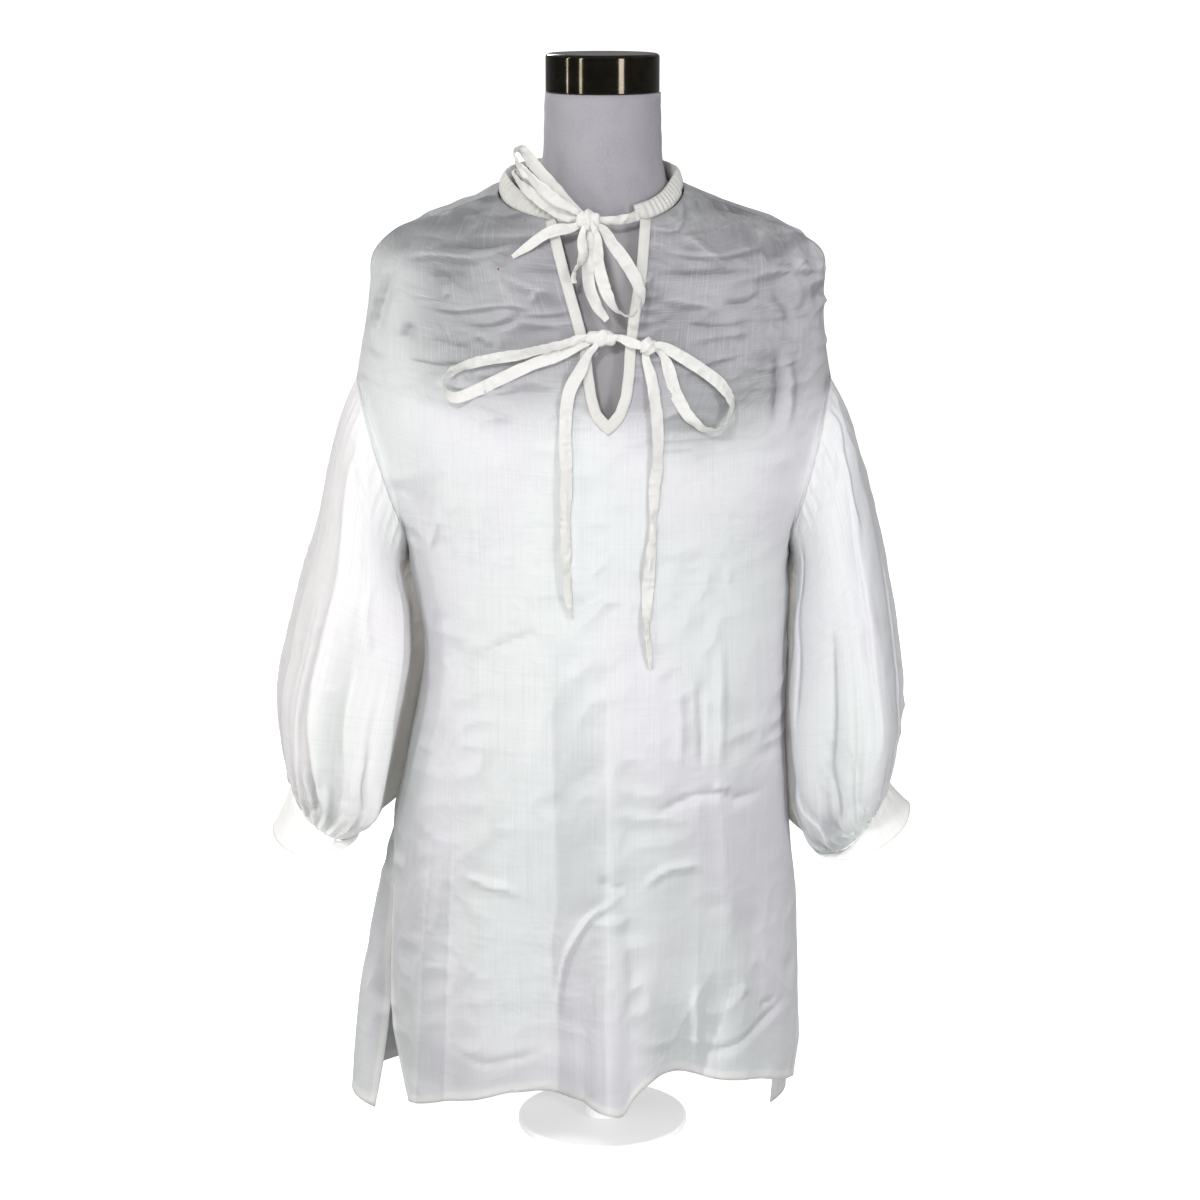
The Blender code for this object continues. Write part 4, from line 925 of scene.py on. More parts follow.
frontShadeSpots = (  # painted shade and shadows, as under the ties' loops and along the shoulders: x, z, half width, half height, how dark
    (-0.150, 0.868, 0.090, 0.024, 0.60), (0.140, 0.868, 0.090, 0.022, 0.45),
    (-0.178, 0.230, 0.022, 0.160, 0.40),
    (-0.112, 0.748, 0.034, 0.014, 0.45), (0.088, 0.728, 0.024, 0.026, 0.40),
    (0.036, 0.806, 0.020, 0.055, 0.35), (-0.040, 0.795, 0.045, 0.020, 0.35),
    (0.055, 0.775, 0.030, 0.016, 0.40), (0.000, 0.755, 0.045, 0.030, 0.25),
    (-0.050, 0.848, 0.016, 0.030, 0.35), (-0.085, 0.872, 0.030, 0.018, 0.30),
    (-0.100, 0.095, 0.110, 0.024, 0.35), (0.060, 0.125, 0.030, 0.050, 0.40),
    (0.150, 0.420, 0.030, 0.200, 0.10), (0.175, 0.650, 0.030, 0.120, 0.15),
    (0.090, 0.260, 0.050, 0.090, 0.18), (-0.160, 0.560, 0.018, 0.140, 0.20))
# painted shade and shadows on the back panel
backShadeSpots = (
    (0.000, 0.870, 0.160, 0.020, 0.40), (0.025, 0.260, 0.028, 0.230, 0.30),
    (0.150, 0.200, 0.024, 0.150, 0.35), (-0.190, 0.160, 0.034, 0.200, 0.75),
    (0.060, 0.100, 0.110, 0.028, 0.30))
form = {  # slack: how far inside its solid the form lies where cloth hides it
    "slack": 0.005, "hiddenBelow": 0.880, "inset": 0.0002, "wrinkle": 0.0006,
    "wrinkledAbove": 0.90, "cell": 0.007, "columns": 33,
}
panel = {
    "hem": 0.008, "hemRise": 0.0002, "hemEdge": 0.0012, "rim": 0.010,
    "creaseGain": 1.9, "bodyCreases": 0.6, "chestRise": 0.0024, "chestStretch": 0.38,
    "bodyCrush": 0.24, "bodyStretch": 0.80, "bodyFine": 0.4, "seated": 0.0012, "sink": 0.75,
    "slopeShade": 2.0, "slopeStep": 0.0025, "hollowShade": 30, "greyRelief": 45,
    "sheer": 0.84, "touching": 0.004, "leftFade": 0.66, "rightFade": 0.50,
    "leftEdge": 0.143, "rightEdge": 0.150, "edgeFade": 0.055, "fadeTop": 0.830,
    "skirtShade": 0.30, "skirtTop": 0.330, "skirtFade": 0.140, "stripTone": 0.95,
    "bust": (  # x and height where the form's chest ends
        (-0.178, 0.733), (-0.090, 0.706), (-0.002, 0.715), (0.086, 0.675), (0.174, 0.697)),
}
crush = {"broad": 0.0009, "broadScale": 0.050, "ridge": 0.0078, "ridgeScale": 0.026,
         "fine": 0.0034, "fineScale": 0.0115, "cluster": 0.070}


def crinkled(points, scale, seed):  # soft-sided ridges, as in thin cloth that was crushed
    warp = np.stack([softNoise(points, 1.8 * scale, seed + k) for k in (1, 2, 3)], axis=-1)
    return 0.26 - np.abs(softNoise(points + 0.6 * scale * warp, scale, seed))


def crumples(points, seed, stretch=1.0, fine=1.0):  # uneven small wrinkles, in clusters
    stretched = points * np.array([stretch, stretch, 1.0])
    shown = 0.35 + 0.65 * eased(0.5 + 1.6 * softNoise(points, crush["cluster"], seed + 4))
    ridges = crush["ridge"] * crinkled(stretched, crush["ridgeScale"], seed + 10)
    small = crush["fine"] * fine * crinkled(stretched, crush["fineScale"], seed + 20)
    return (crush["broad"] * softNoise(points, crush["broadScale"], seed)
            + shown * (ridges + small))


def toneSpots(points, spots):  # soft patches: x, z, half width, half height, how strong
    total = np.zeros(points.shape[:-1])
    for x, z, wide, high, strength in spots:
        far = np.hypot((points[..., 0] - x) / wide, (points[..., 2] - z) / high)
        total += strength * (1 - eased(far - 0.4))
    return total


def joinHalves(left, right, uvLeft, uvRight):
    # both halves as one list of points, each a grid from the middle outwards
    count = left.shape[0] * left.shape[1]
    faces = gridFaces(*left.shape[:2]) + gridFaces(*right.shape[:2], flip=True, start=count)
    points = np.vstack([left.reshape(-1, 3), right.reshape(-1, 3)])
    uvs = np.concatenate([uvLeft.reshape(-1, uvLeft.shape[-1]),
                          uvRight.reshape(-1, uvRight.shape[-1])])
    return points, faces, uvs


def edgeShares(points, slitTop):
    # the doubled strip along the hem and a slit, and how far a place is from a seam
    down = np.linalg.norm(np.diff(points, axis=0), axis=2)
    below = np.concatenate([np.cumsum(down[::-1], axis=0)[::-1],
                            np.zeros((1, points.shape[1]))])
    across = np.linalg.norm(np.diff(points, axis=1), axis=2)
    beside = np.concatenate([np.cumsum(across[:, ::-1], axis=1)[:, ::-1],
                             np.zeros((len(points), 1))], axis=1)
    low = points[..., 2] < slitTop
    hem = 1 - eased((below - panel["hem"]) / panel["hemEdge"])
    slit = (1 - eased((beside - panel["hem"]) / panel["hemEdge"])) * low
    fromTop = np.concatenate([np.zeros((1, points.shape[1])), np.cumsum(down, axis=0)])
    rim = np.where(low, 1.0, eased(beside / panel["rim"])) * eased(fromTop / panel["rim"])
    return np.maximum(hem, slit), rim


def pressed(points, pleats):
    # pressed folds seen flat: the cloth rises from a valley line to a ridge line and sinks
    # away beyond it; the strip between the lines, which turns from the light, gets painted shade,
    # and the cloth just past the ridge a painted highlight
    out, tone = np.zeros(len(points)), np.zeros(len(points))
    x, z = points[:, 0], points[:, 2]
    for valley, ridge, height, fall, top, strength in pleats:
        valleyX = np.interp(z, *np.array(valley).T)
        ridgeX = np.interp(z, *np.array(ridge).T)
        climb = (x - valleyX) / (ridgeX - valleyX)
        past = np.maximum((x - ridgeX) * np.sign(ridgeX - valleyX), 0)
        out += height * np.clip(climb, 0, 1) * np.exp(-past / fall) * eased((top - z) / 0.12)
        inside = eased((climb + 0.05) / 0.08) * (1 - eased((climb - 0.97) / 0.05))
        beyond = np.exp(-np.maximum(climb - 1, 0) / 0.25) * (climb > 1)
        tone += strength * (inside * (1.25 - 0.5 * climb) - 0.5 * beyond) * eased(
            (top - z) / 0.10)
    return out, tone


def plainPanel(name, side, folds, slitTop):
    # both halves joined, with the hem strips and the distance from the seams as attributes
    rows = panelRows(side)
    base = np.linspace(0, 1, garment["columns"] + 1)[None, :]
    halves = []
    for half in (-1, 1):
        start = openingShares(rows, half)[:, None] if side < 0 else np.zeros((len(rows), 1))
        points = panelHalf(rows, start, base, half, side, folds)
        halves.append((points, metres(points), *edgeShares(points, slitTop)))
    (left, uvLeft, stripLeft, rimLeft), (right, uvRight, stripRight, rimRight) = halves
    uvLeft[..., 0] = -uvLeft[..., 0] - 0.001
    points, faces, uvs = joinHalves(left, right, uvLeft, uvRight)
    if side > 0:
        faces = [face[::-1] for face in faces]
    strips = np.concatenate([stripLeft.ravel(), stripRight.ravel()])
    rims = np.concatenate([rimLeft.ravel(), rimRight.ravel()])
    obj = addMesh(name, points, faces, voileBody, uvs, {"layers": strips, "rim": rims})
    mergeClose(obj)
    return obj


def chestShare(points, below, height):  # 1 above the line where the chest ends, 0 well below
    lineX, lineZ = np.array(panel["bust"]).T
    line = np.interp(points[:, 0], lineX, lineZ)
    return eased((points[:, 2] - line + below) / height)


def panelTones(obj, points, relief, turned, near, strips, tones):
    # grey where the form shows through, and painted shade in the hollows, on turned cloth, in the
    # listed spots and low on the skirt
    above = chestShare(points, 0.024, 0.078)
    low = 1 - eased((points[:, 2] - panel["fadeTop"]) / 0.035)
    beyondLeft = eased((-points[:, 0] - panel["leftEdge"]) / panel["edgeFade"])
    beyondRight = eased((points[:, 0] - panel["rightEdge"]) / panel["edgeFade"])
    leftSide = 1 - panel["leftFade"] * low * beyondLeft
    rightSide = 1 - panel["rightFade"] * beyondRight
    tight = 1 - eased((near - panel["touching"]) / 0.030)
    grey = above * leftSide * rightSide * (0.70 + 0.30 * tight)
    # greyer in the relief's hollows, lighter on its ridges: partly the form nearer behind, partly
    # painted shade
    grey *= np.clip(0.90 - panel["greyRelief"] * relief, 0.50, 1.15)
    setTone(obj, "close", np.clip(0.04 + panel["sheer"] * grey, 0, 1))
    lower = 1 - eased((points[:, 2] - panel["skirtTop"]) / panel["skirtFade"])
    shade = (toneSpots(points, tones) + panel["skirtShade"] * lower
             - panel["hollowShade"] * relief * (1 - above))
    shade += turned
    setTone(obj, "shade", np.clip(shade, -0.8, 1.3))
    setTone(obj, "layers", panel["stripTone"] * strips)


def makePanel(name, side, folds, creases, pleats, tones, slitTop, seed):
    obj = plainPanel(name, side, folds, slitTop)
    points, normals = pointsOf(obj), normalsOf(obj)
    strips, rims = toneOf(obj, "layers"), toneOf(obj, "rim")
    chest = chestShare(points, 0.020, 0.060)

    def reliefAt(places):
        drawn = creaseField(places[:, 0], places[:, 2], creases) * panel["creaseGain"] * (
            panel["bodyCreases"] + (1 - panel["bodyCreases"]) * chest)
        crushed = crumples(places, seed + 2, panel["bodyStretch"], panel["bodyFine"])
        return (drawn + chest * crumples(places, seed, panel["chestStretch"])
                + panel["bodyCrush"] * (1 - chest) * crushed)

    relief = reliefAt(points)
    # painted shade from the relief's slope: darker where it faces down and to the right, as if lit
    # from above and the left
    step = panel["slopeStep"]
    upward = (reliefAt(points + np.array([0, 0, step])) - relief) / step
    sideways = (reliefAt(points + np.array([step, 0, 0])) - relief) / step
    slope = panel["slopeShade"] * (upward - 0.7 * sideways)
    near = distanceToForm(points)
    rise = panel["chestRise"] * (1 - eased((near - panel["touching"]) / 0.012))
    room = near + form["slack"] - panel["seated"]
    out = np.maximum(relief + rise, -panel["sink"] * np.maximum(room, 0.0))
    raised, pleatShade = pressed(points, pleats)
    out = (out + raised) * rims + panel["hemRise"] * strips
    movePoints(obj, points + normals * out[:, None])
    panelTones(obj, points, relief, pleatShade + slope, near, strips, tones)
    return obj


front = makePanel("frontPanel", -1, frontFolds, frontCreases, frontPleats, frontShadeSpots,
                  garment["frontSlitTop"], seed=11)
back = makePanel("backPanel", 1, backFolds, backCreases, backPleats, backShadeSpots,
                 garment["backSlitTop"], seed=23)
for cloth in (front, back):
    giveWall(cloth, garment["wall"])
frontTree = treeOf(front)
print("panels made:", len(front.data.polygons), len(back.data.polygons))

# Sleeves and cuffs

sleeveGathers = (  # angle, spread, out, start, end
    (20, 22, -0.006, 0.10, 1.0), (62, 26, 0.006, 0.25, 1.0), (100, 24, -0.007, 0.30, 1.0),
    (140, 26, 0.005, 0.20, 1.0), (215, 26, -0.006, 0.15, 1.0), (262, 28, 0.006, 0.30, 1.0),
    (310, 26, -0.006, 0.25, 1.0))
leftPleats = (  # angle, spread, out, start, end: the sleeve's own long folds
    (168, 30, -0.0080, 0.08, 0.88),
    (48, 7, -0.0050, 0.30, 0.98), (57, 6, 0.0035, 0.35, 0.99), (76, 5, -0.0028, 0.45, 1.0),
    (88, 6, 0.0030, 0.52, 1.0), (108, 5, 0.0026, 0.60, 1.0), (121, 6, -0.0036, 0.38, 0.99),
    (133, 5, 0.0028, 0.55, 1.0), (152, 6, -0.0030, 0.62, 1.0), (166, 5, 0.0026, 0.70, 1.0),
    (30, 5, 0.0026, 0.62, 1.0), (8, 6, 0.0024, 0.66, 1.0), (343, 6, -0.0026, 0.60, 1.0),
    (325, 6, 0.0028, 0.55, 1.0), (292, 6, -0.0030, 0.50, 1.0), (246, 6, -0.0030, 0.55, 1.0),
    (228, 6, 0.0028, 0.60, 1.0), (197, 6, 0.0026, 0.65, 1.0), (182, 5, -0.0026, 0.70, 1.0))
rightPleats = (
    (40, 6, 0.0030, 0.52, 1.0), (52, 6, -0.0034, 0.46, 1.0), (70, 5, 0.0028, 0.60, 1.0),
    (84, 6, -0.0040, 0.36, 0.99), (96, 5, 0.0030, 0.55, 1.0), (112, 6, -0.0050, 0.42, 1.0),
    (124, 6, 0.0044, 0.48, 1.0), (136, 5, -0.0040, 0.56, 1.0), (148, 5, 0.0034, 0.60, 1.0),
    (161, 6, -0.0030, 0.66, 1.0), (22, 6, -0.0026, 0.64, 1.0), (5, 6, 0.0024, 0.68, 1.0),
    (341, 6, -0.0026, 0.60, 1.0), (322, 6, 0.0028, 0.55, 1.0), (288, 6, -0.0030, 0.50, 1.0),
    (244, 6, -0.0030, 0.55, 1.0), (226, 6, 0.0028, 0.62, 1.0), (196, 6, 0.0026, 0.66, 1.0))
farSteps = ((0.40, 235, 0.95, 225, 0.0050, 18), (0.30, 300, 0.90, 310, -0.0050, 20))
leftSteps = (  # start, angle there, end, angle there, rise, reach: one cloth edge over another
    (0.03, 56, 0.88, 84, 0.0085, 26), (0.10, 140, 0.90, 134, -0.0060, 18),
    (0.30, 24, 0.85, 34, 0.0030, 12), (0.36, 98, 0.96, 106, 0.0026, 12),
    (0.52, 122, 0.98, 118, -0.0030, 10), (0.62, 66, 0.99, 72, 0.0030, 8), *farSteps)
rightSteps = (
    (0.56, 152, 0.90, 92, 0.0066, 16), (0.62, 165, 0.95, 118, 0.0045, 10),
    (0.02, 142, 0.52, 150, 0.0052, 14), (0.00, 40, 0.26, 62, 0.0040, 12),
    (0.00, 22, 0.20, 40, 0.0034, 10),
    (0.05, 60, 0.60, 70, -0.0035, 22), (0.30, 110, 0.75, 104, 0.0030, 16),
    (0.66, 84, 0.97, 74, 0.0034, 9), (0.70, 58, 0.98, 56, -0.0030, 9),
    (0.25, 28, 0.90, 34, -0.0036, 14), (0.20, 160, 0.60, 155, -0.0045, 18), *farSteps)
sleeve = {
    "columns": 200, "rows": 112, "wall": 0.0007, "round": 0.075, "length": 0.42,
    "headPuckers": 31, "headDepth": 0.0014, "cuffPuckers": 26, "cuffDepth": 0.0042,
    "crush": 0.30, "sway": 0.0030, "tuck": 0.030, "tuckAngle": 218, "tuckSpread": 62,
    "slopeShade": 0.75, "hollowShade": 25, "farSide": 200, "farSpread": 45,
    "seamTone": 0.5,
}
leftCuffMouth = (-0.314, 0.300, -0.232, 0.300, 0.036, 0.018)
rightCuffMouth = (0.292, 0.320, 0.197, 0.292, 0.037, 0.024)


def pleated(angles, along, gathers):
    out = np.zeros(np.broadcast(angles, along).shape)
    degrees = np.degrees(angles)
    for angle, spread, depth, start, end in gathers:
        share = np.clip((along - start) / (end - start), 0, 1)
        turn = turnFrom(degrees, angle)
        power = 1.8 if start > 0.4 else 1.0  # short ones are deepest beside the cuff
        out = out + depth * np.sin(np.pi * share ** power) * bump(turn, spread)
    return out


def stepped(angles, along, steps):
    # edges where the cloth folds over itself: how far out it stands, how far round the
    # upper layer slides over the lower one, and a painted shadow below its edge and painted
    # highlight above it
    out = np.zeros(np.broadcast(angles, along).shape)
    slide, shadow = np.zeros_like(out), np.zeros_like(out)
    degrees = np.degrees(angles)
    for start, first, end, last, rise, reach in steps:
        share = (along - start) / (end - start)
        wave = 2.8 * np.sin(9 * share + first) + 0.8 * np.sin(19 * share + last)
        line = first + (last - first) * np.clip(share, 0, 1) + wave
        way = np.sign(rise)
        turn = turnFrom(degrees, line) * way
        over = np.exp(-np.maximum(turn, 0) / reach)
        under = -0.5 * np.exp(-np.maximum(-turn, 0) / (0.35 * reach))
        upper = eased((turn + 3.0) / 6.0)
        shape = under + (over - under) * upper
        fade = eased(share / 0.2) * eased((1 - share) / 0.2)
        out = out + abs(rise) * shape * fade
        close = np.exp(-np.maximum(turn, 0) / 6.0) * upper
        depth = min(abs(rise) / 0.005, 1.2)
        slide = slide - way * np.radians(3.6) * close * fade * depth
        below = np.exp(-np.maximum(-turn, 0) / 4.5) * (1 - upper)
        shadow = shadow + (0.80 * below - 0.25 * close) * fade * depth
    return out, slide, shadow


def puckers(angles, count, seed):  # uneven small gathers round a ring
    wander = np.random.RandomState(seed)
    phase = sum(wander.uniform(0.4, 1.0) / k * np.sin(k * angles + wander.uniform(0, 6.28))
                for k in range(1, 7))
    strength = 0.6 + 0.4 * np.sin(3 * angles + wander.uniform(0, 6.28))
    strength = strength * (0.65 + 0.35 * np.sin(8 * angles + wander.uniform(0, 6.28)))
    return strength * (np.sin(count * angles + 2.4 * phase)
                       + 0.35 * np.sin(1.7 * count * angles + 3.0 * phase))


# painted shade on the sleeve's inner side beside the body, on its back, and on the left one's
# outer strip
leftBeigeShade = (  # middle angle, spread, start, end, how much warm painted shade
    (188, 34, 0.05, 0.92, 0.70), (12, 60, 0.02, 1.05, 0.10), (250, 50, 0.05, 1.0, 0.20))
rightBeigeShade = ((190, 30, 0.05, 0.92, 0.45), (250, 50, 0.05, 1.0, 0.20))


def angleShadeBands(degrees, along, tones):
    total = 0.02 * np.ones(np.broadcast(degrees, along).shape)
    for angle, spread, start, end, strength in tones:
        turn = np.abs(turnFrom(degrees, angle))
        share = (along - start) / (end - start)
        total += strength * (1 - eased((turn - spread + 5) / 5)) * eased(
            share / 0.12) * eased((1 - share) / 0.12)
    return total


def sleeveRings(rings):  # smooth rings through the given ones
    places = np.linspace(0, len(rings) - 1, sleeve["rows"] + 1)
    fine = smoothCurve(rings, 24)
    return np.stack([np.interp(places, np.linspace(0, len(rings) - 1, len(fine)), column)
                     for column in fine.T], axis=-1)


def sleeveOut(points, angles, along, fall, layered, pleats, creases, seed):
    # how far out each place stands: folds, puckers at both seams, crumples and creases
    out = pleated(angles[None, :], along, sleeveGathers)
    out += pleated(angles[None, :], along, pleats) + layered
    head = sleeve["headDepth"] * puckers(angles, sleeve["headPuckers"], seed)[None, :]
    out += head * (1 - eased((along - 0.02) / 0.13)) * eased(along / 0.012)
    foot = sleeve["cuffDepth"] * puckers(angles, sleeve["cuffPuckers"], seed + 5)[None, :]
    out += foot * eased((along - 0.74) / 0.2) * (1 - eased((along - 0.985) / 0.015))
    out += sleeve["crush"] * crumples(points, seed + 9) * fall
    out += sleeve["sway"] * softNoise(points * np.array([1, 1, 0.5]), 0.080, seed + 3) * fall
    facing = np.where(np.sin(angles) > -0.2, 1.0, 0.0)[None, :]
    return out + facing * creaseField(points[..., 0], points[..., 2], creases)


def sleeveShade(out, angles, along, shadow, side):
    # painted shade: darker on slopes facing away from a light on the left and in hollows, plus the
    # fold edges' painted shadows and highlights, and none on the far side
    slope = np.gradient(out, axis=1) / (np.gradient(angles) * sleeve["round"])[None, :]
    shade = side * sleeve["slopeShade"] * slope * (1 + 0.8 * eased((along - 0.55) / 0.3))
    shade = np.clip(shade - sleeve["hollowShade"] * (out - 0.002) + shadow, -0.35, 1.0)
    turn = turnFrom(np.degrees(angles)[None, :], sleeve["farSide"])
    return shade * (1 - bump(turn, sleeve["farSpread"]))


def makeSleeve(name, rings, side, pleats, steps, creases, material, tones, seed):
    count = sleeve["rows"]
    angles = np.linspace(0, 2 * np.pi, sleeve["columns"], endpoint=False)
    along = np.linspace(0, 1, count + 1)[:, None]
    layered, slide, shadow = stepped(angles[None, :], along, steps)
    points = ringPoints(sleeveRings(rings)[:, None, :], angles[None, :] + slide)
    fall = eased(along / 0.12) * (1 - 0.6 * eased((along - 0.85) / 0.15))
    out = sleeveOut(points, angles, along, fall, layered, pleats, creases, seed)
    points = points + fromMiddle(points) * out[..., None]
    degrees = np.degrees(angles)[None, :]
    tucked = bump(turnFrom(degrees, sleeve["tuckAngle"]), sleeve["tuckSpread"])
    tucked = tucked * eased((along - 0.03) / 0.15) * (1 - eased((along - 0.66) / 0.18))
    points[..., 0] -= side * sleeve["tuck"] * tucked  # it hangs a little behind the body
    points[0] += (points[1] - points[0]) * 0.05
    u = np.repeat((np.abs(angles - np.pi) * sleeve["round"])[None, :], count + 1, axis=0)
    v = np.repeat(-np.linspace(0, sleeve["length"], count + 1)[:, None], len(angles), axis=1)
    faces = gridFaces(count + 1, len(angles), closed=True, flip=side > 0)
    seam = (1 - eased(along / 0.035)) * np.ones(points.shape[:2])
    shade = sleeveShade(out, angles, along, shadow, side)
    # close carries the sleeve's warm painted shade, and shade its painted shade and highlights
    obj = addMesh(name, points, faces, material, np.stack([u, v], axis=-1),
                  {"close": angleShadeBands(degrees, along, tones),
                   "layers": sleeve["seamTone"] * seam, "shade": shade * fall})
    giveWall(obj, sleeve["wall"])
    return obj


leftSleeveCreases = (
    (0.006, 0.0018, (-0.250, 0.640), (-0.240, 0.600), (-0.236, 0.560)),
    (0.007, -0.0022, (-0.262, 0.560), (-0.275, 0.500), (-0.290, 0.430)),
    (0.005, 0.0016, (-0.205, 0.570), (-0.215, 0.530), (-0.212, 0.480)),
    (0.006, -0.0018, (-0.232, 0.690), (-0.222, 0.660), (-0.218, 0.630)),
    (0.005, 0.0014, (-0.285, 0.470), (-0.255, 0.455), (-0.230, 0.462)))
rightSleeveCreases = (
    (0.007, -0.0030, (0.205, 0.412), (0.222, 0.395), (0.243, 0.366)),
    (0.005, 0.0020, (0.200, 0.395), (0.212, 0.372), (0.226, 0.352)),
    (0.004, -0.0018, (0.196, 0.380), (0.208, 0.356), (0.218, 0.342)),
    (0.005, 0.0018, (0.190, 0.520), (0.225, 0.512), (0.262, 0.520)),
    (0.006, -0.0018, (0.222, 0.690), (0.214, 0.650), (0.204, 0.620)),
    (0.006, 0.0018, (0.246, 0.600), (0.240, 0.550), (0.250, 0.480)))
leftArm = makeSleeve("sleeveLeft", leftSleeve, -1, leftPleats, leftSteps,
                     leftSleeveCreases, litVoileLeft, leftBeigeShade, seed=41)
rightArm = makeSleeve("sleeveRight", rightSleeve, 1, rightPleats, rightSteps,
                      rightSleeveCreases, shadedVoileRight, rightBeigeShade, seed=57)

cuff = {"columns": 144, "rows": 14, "wall": 0.0013, "round": 0.033, "length": 0.05,
        "gathers": 0.0012, "unevenness": 0.0010, "seamRidge": 0.0006, "edgeRoll": 0.0008,
        "ease": 0.0006}
button = {"radius": 0.0045, "height": 0.0018, "rounding": 0.0005, "gap": 0.0002,
          "holeRadius": 0.0005, "holeSpread": 0.0011}


def makeCuff(name, seamRing, mouthRing, side, seed):
    rows = cuff["rows"]
    shares = np.linspace(0.0, 1.0, rows + 1)
    rings = np.array(seamRing) + (np.array(mouthRing) - seamRing) * shares[:, None]
    angles = np.linspace(0, 2 * np.pi, cuff["columns"], endpoint=False)
    points = ringPoints(rings[:, None, :], angles[None, :])
    away = fromMiddle(points)
    edge = shares[:, None]
    out = cuff["gathers"] * puckers(angles, sleeve["cuffPuckers"], seed + 5)[None, :] * (
        1 - eased(edge / 0.5))
    out = (out + cuff["unevenness"] * softNoise(points, 0.018, seed)
           + cuff["seamRidge"] * bump(edge - 0.12, 0.10))
    out = out + cuff["edgeRoll"] * bump(edge - 1.0, 0.12) + cuff["ease"]
    points = points + away * out[..., None]
    u = np.repeat((np.abs(angles - np.pi) * cuff["round"])[None, :], rows + 1, axis=0)
    v = np.repeat(-cuff["length"] * edge, len(angles), axis=1)
    faces = gridFaces(rows + 1, len(angles), closed=True, flip=side > 0)
    obj = addMesh(name, points, faces, voileCuff, np.stack([u, v], axis=-1))
    giveWall(obj, cuff["wall"])
    return obj


cuffLeft = makeCuff("cuffLeft", leftSleeve[-1], leftCuffMouth, -1, seed=41)
cuffRight = makeCuff("cuffRight", rightSleeve[-1], rightCuffMouth, 1, seed=57)


def makeButton(name, node, cloth):
    # a low disc with two holes, flat on the cuff at the place nearest its solid
    low, high = (Vector(corner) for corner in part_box(node))
    foot, outward, _, away = treeOf(cloth).find_nearest((low + high) / 2)
    print(name, "moved by", round(away, 4), "to", [round(n, 4) for n in foot])
    middle = foot + outward * (button["height"] / 2 + button["gap"])
    disc = addDrum(button["radius"], button["height"], 48)
    disc.name = name
    roundEdges(disc, button["rounding"], 3)
    for offset in (-button["holeSpread"], button["holeSpread"]):
        hole = addDrum(button["holeRadius"], 0.006, 16, (offset, 0, 0))
        cut = disc.modifiers.new("hole", "BOOLEAN")
        cut.operation = "DIFFERENCE"
        cut.object = hole
        takeDown(disc)
        bpy.data.objects.remove(hole)
    turn = outward.to_track_quat("Z", "Y").to_matrix()
    for vertex in disc.data.vertices:
        vertex.co = turn @ vertex.co + middle
    disc.data.materials.append(pearl)
    disc.data.shade_smooth()
    return disc


buttonLeft = makeButton("buttonLeft", "cuff_button_left", cuffLeft)
buttonRight = makeButton("buttonRight", "cuff_button_right", cuffRight)
print("sleeves and cuffs made")

# Neck casing and keyhole binding

band = {"height": 0.0144, "backHeight": 0.019, "puff": 0.0026, "lean": 0.011,
        "backLean": 0.004, "step": 0.0012, "section": 14, "seat": 0.0022,
        "gatherSpacing": 0.0062, "gatherDepth": 0.0017, "unevenness": 0.0007}


def neckEdge():  # the panels' upper edge from the keyhole's left side round to its right
    rows = panelRows(-1)[:1]
    base = np.linspace(0, 1, garment["columns"] + 1)[None, :]
    sides = []
    for half in (-1, 1):
        start = openingShares(rows, half)[:, None]
        sides.append(halfPoints(rows, start + (1 - start) * base, half)[0])
    behind = panelRows(1)[:1]
    backLeft = halfPoints(behind, base, -1)[0][::-1]
    backRight = halfPoints(behind, base, 1)[0]
    return np.vstack([sides[0][:-1], backLeft[:-1], backRight[:-1], sides[1][::-1]])


def makeNeckBand():
    line = evenCurve(neckEdge(), band["step"])
    inward = unit(-line * np.array([1, 1, 0]))
    atFront = (eased((-line[:, 1] + 0.01) / 0.03))[:, None]
    height = band["backHeight"] + (band["height"] - band["backHeight"]) * atFront
    lean = band["backLean"] + (band["lean"] - band["backLean"]) * atFront
    seat = line + inward * band["seat"] + np.array([0, 0, -0.001])
    axis = unit(inward * lean + np.array([0, 0, 1.0]) * height)
    length = np.hypot(height, lean)
    outward = unit(np.cross(np.gradient(line, axis=0), axis))
    outward *= np.sign((outward * -inward).sum(axis=1, keepdims=True))
    run = runAlong(line)
    places = np.stack([run, 0 * run, 0 * run], axis=-1)
    wander = 1.4 * softNoise(places, 0.03, 5)
    gathers = np.sin(2 * np.pi * run / band["gatherSpacing"] + 2.6 * wander)
    gathers *= 0.6 + 0.4 * softNoise(places, 0.02, 6)
    ends = np.minimum(eased(run / 0.006), eased((run[-1] - run) / 0.006))
    turn = np.linspace(0, 2 * np.pi, band["section"], endpoint=False)
    rise = 0.5 - 0.5 * np.cos(turn)
    puffed = np.sin(turn)
    thick = (band["puff"] + band["gatherDepth"] * gathers * ends)[:, None]
    up = length * (rise + 0.02 * np.sin(3 * turn))
    out = thick * puffed * (0.65 + 0.35 * ends[:, None])
    points = (seat[:, None, :] + axis[:, None, :] * up[..., None]
              + outward[:, None, :] * out[..., None])
    points += outward[:, None, :] * (band["unevenness"] * softNoise(points, 0.006, 8))[..., None]
    count = band["section"]
    faces = gridFaces(len(line), count, closed=True) + endCaps(len(line), count)
    u = np.repeat(run[:, None], count, axis=1)
    v = np.repeat(np.cumsum(np.full(count, 0.0022))[None, :], len(line), axis=0)
    return addMesh("neckBand", points, faces, voileBand, np.stack([u, v], axis=-1))


neckBand = makeNeckBand()
binding = {"width": 0.0093, "tip": 0.0130, "tipReach": 0.012, "lift": 0.0009, "wall": 0.0009,
           "step": 0.0020, "columns": 9, "puff": 0.0007, "unevenness": 0.0003}


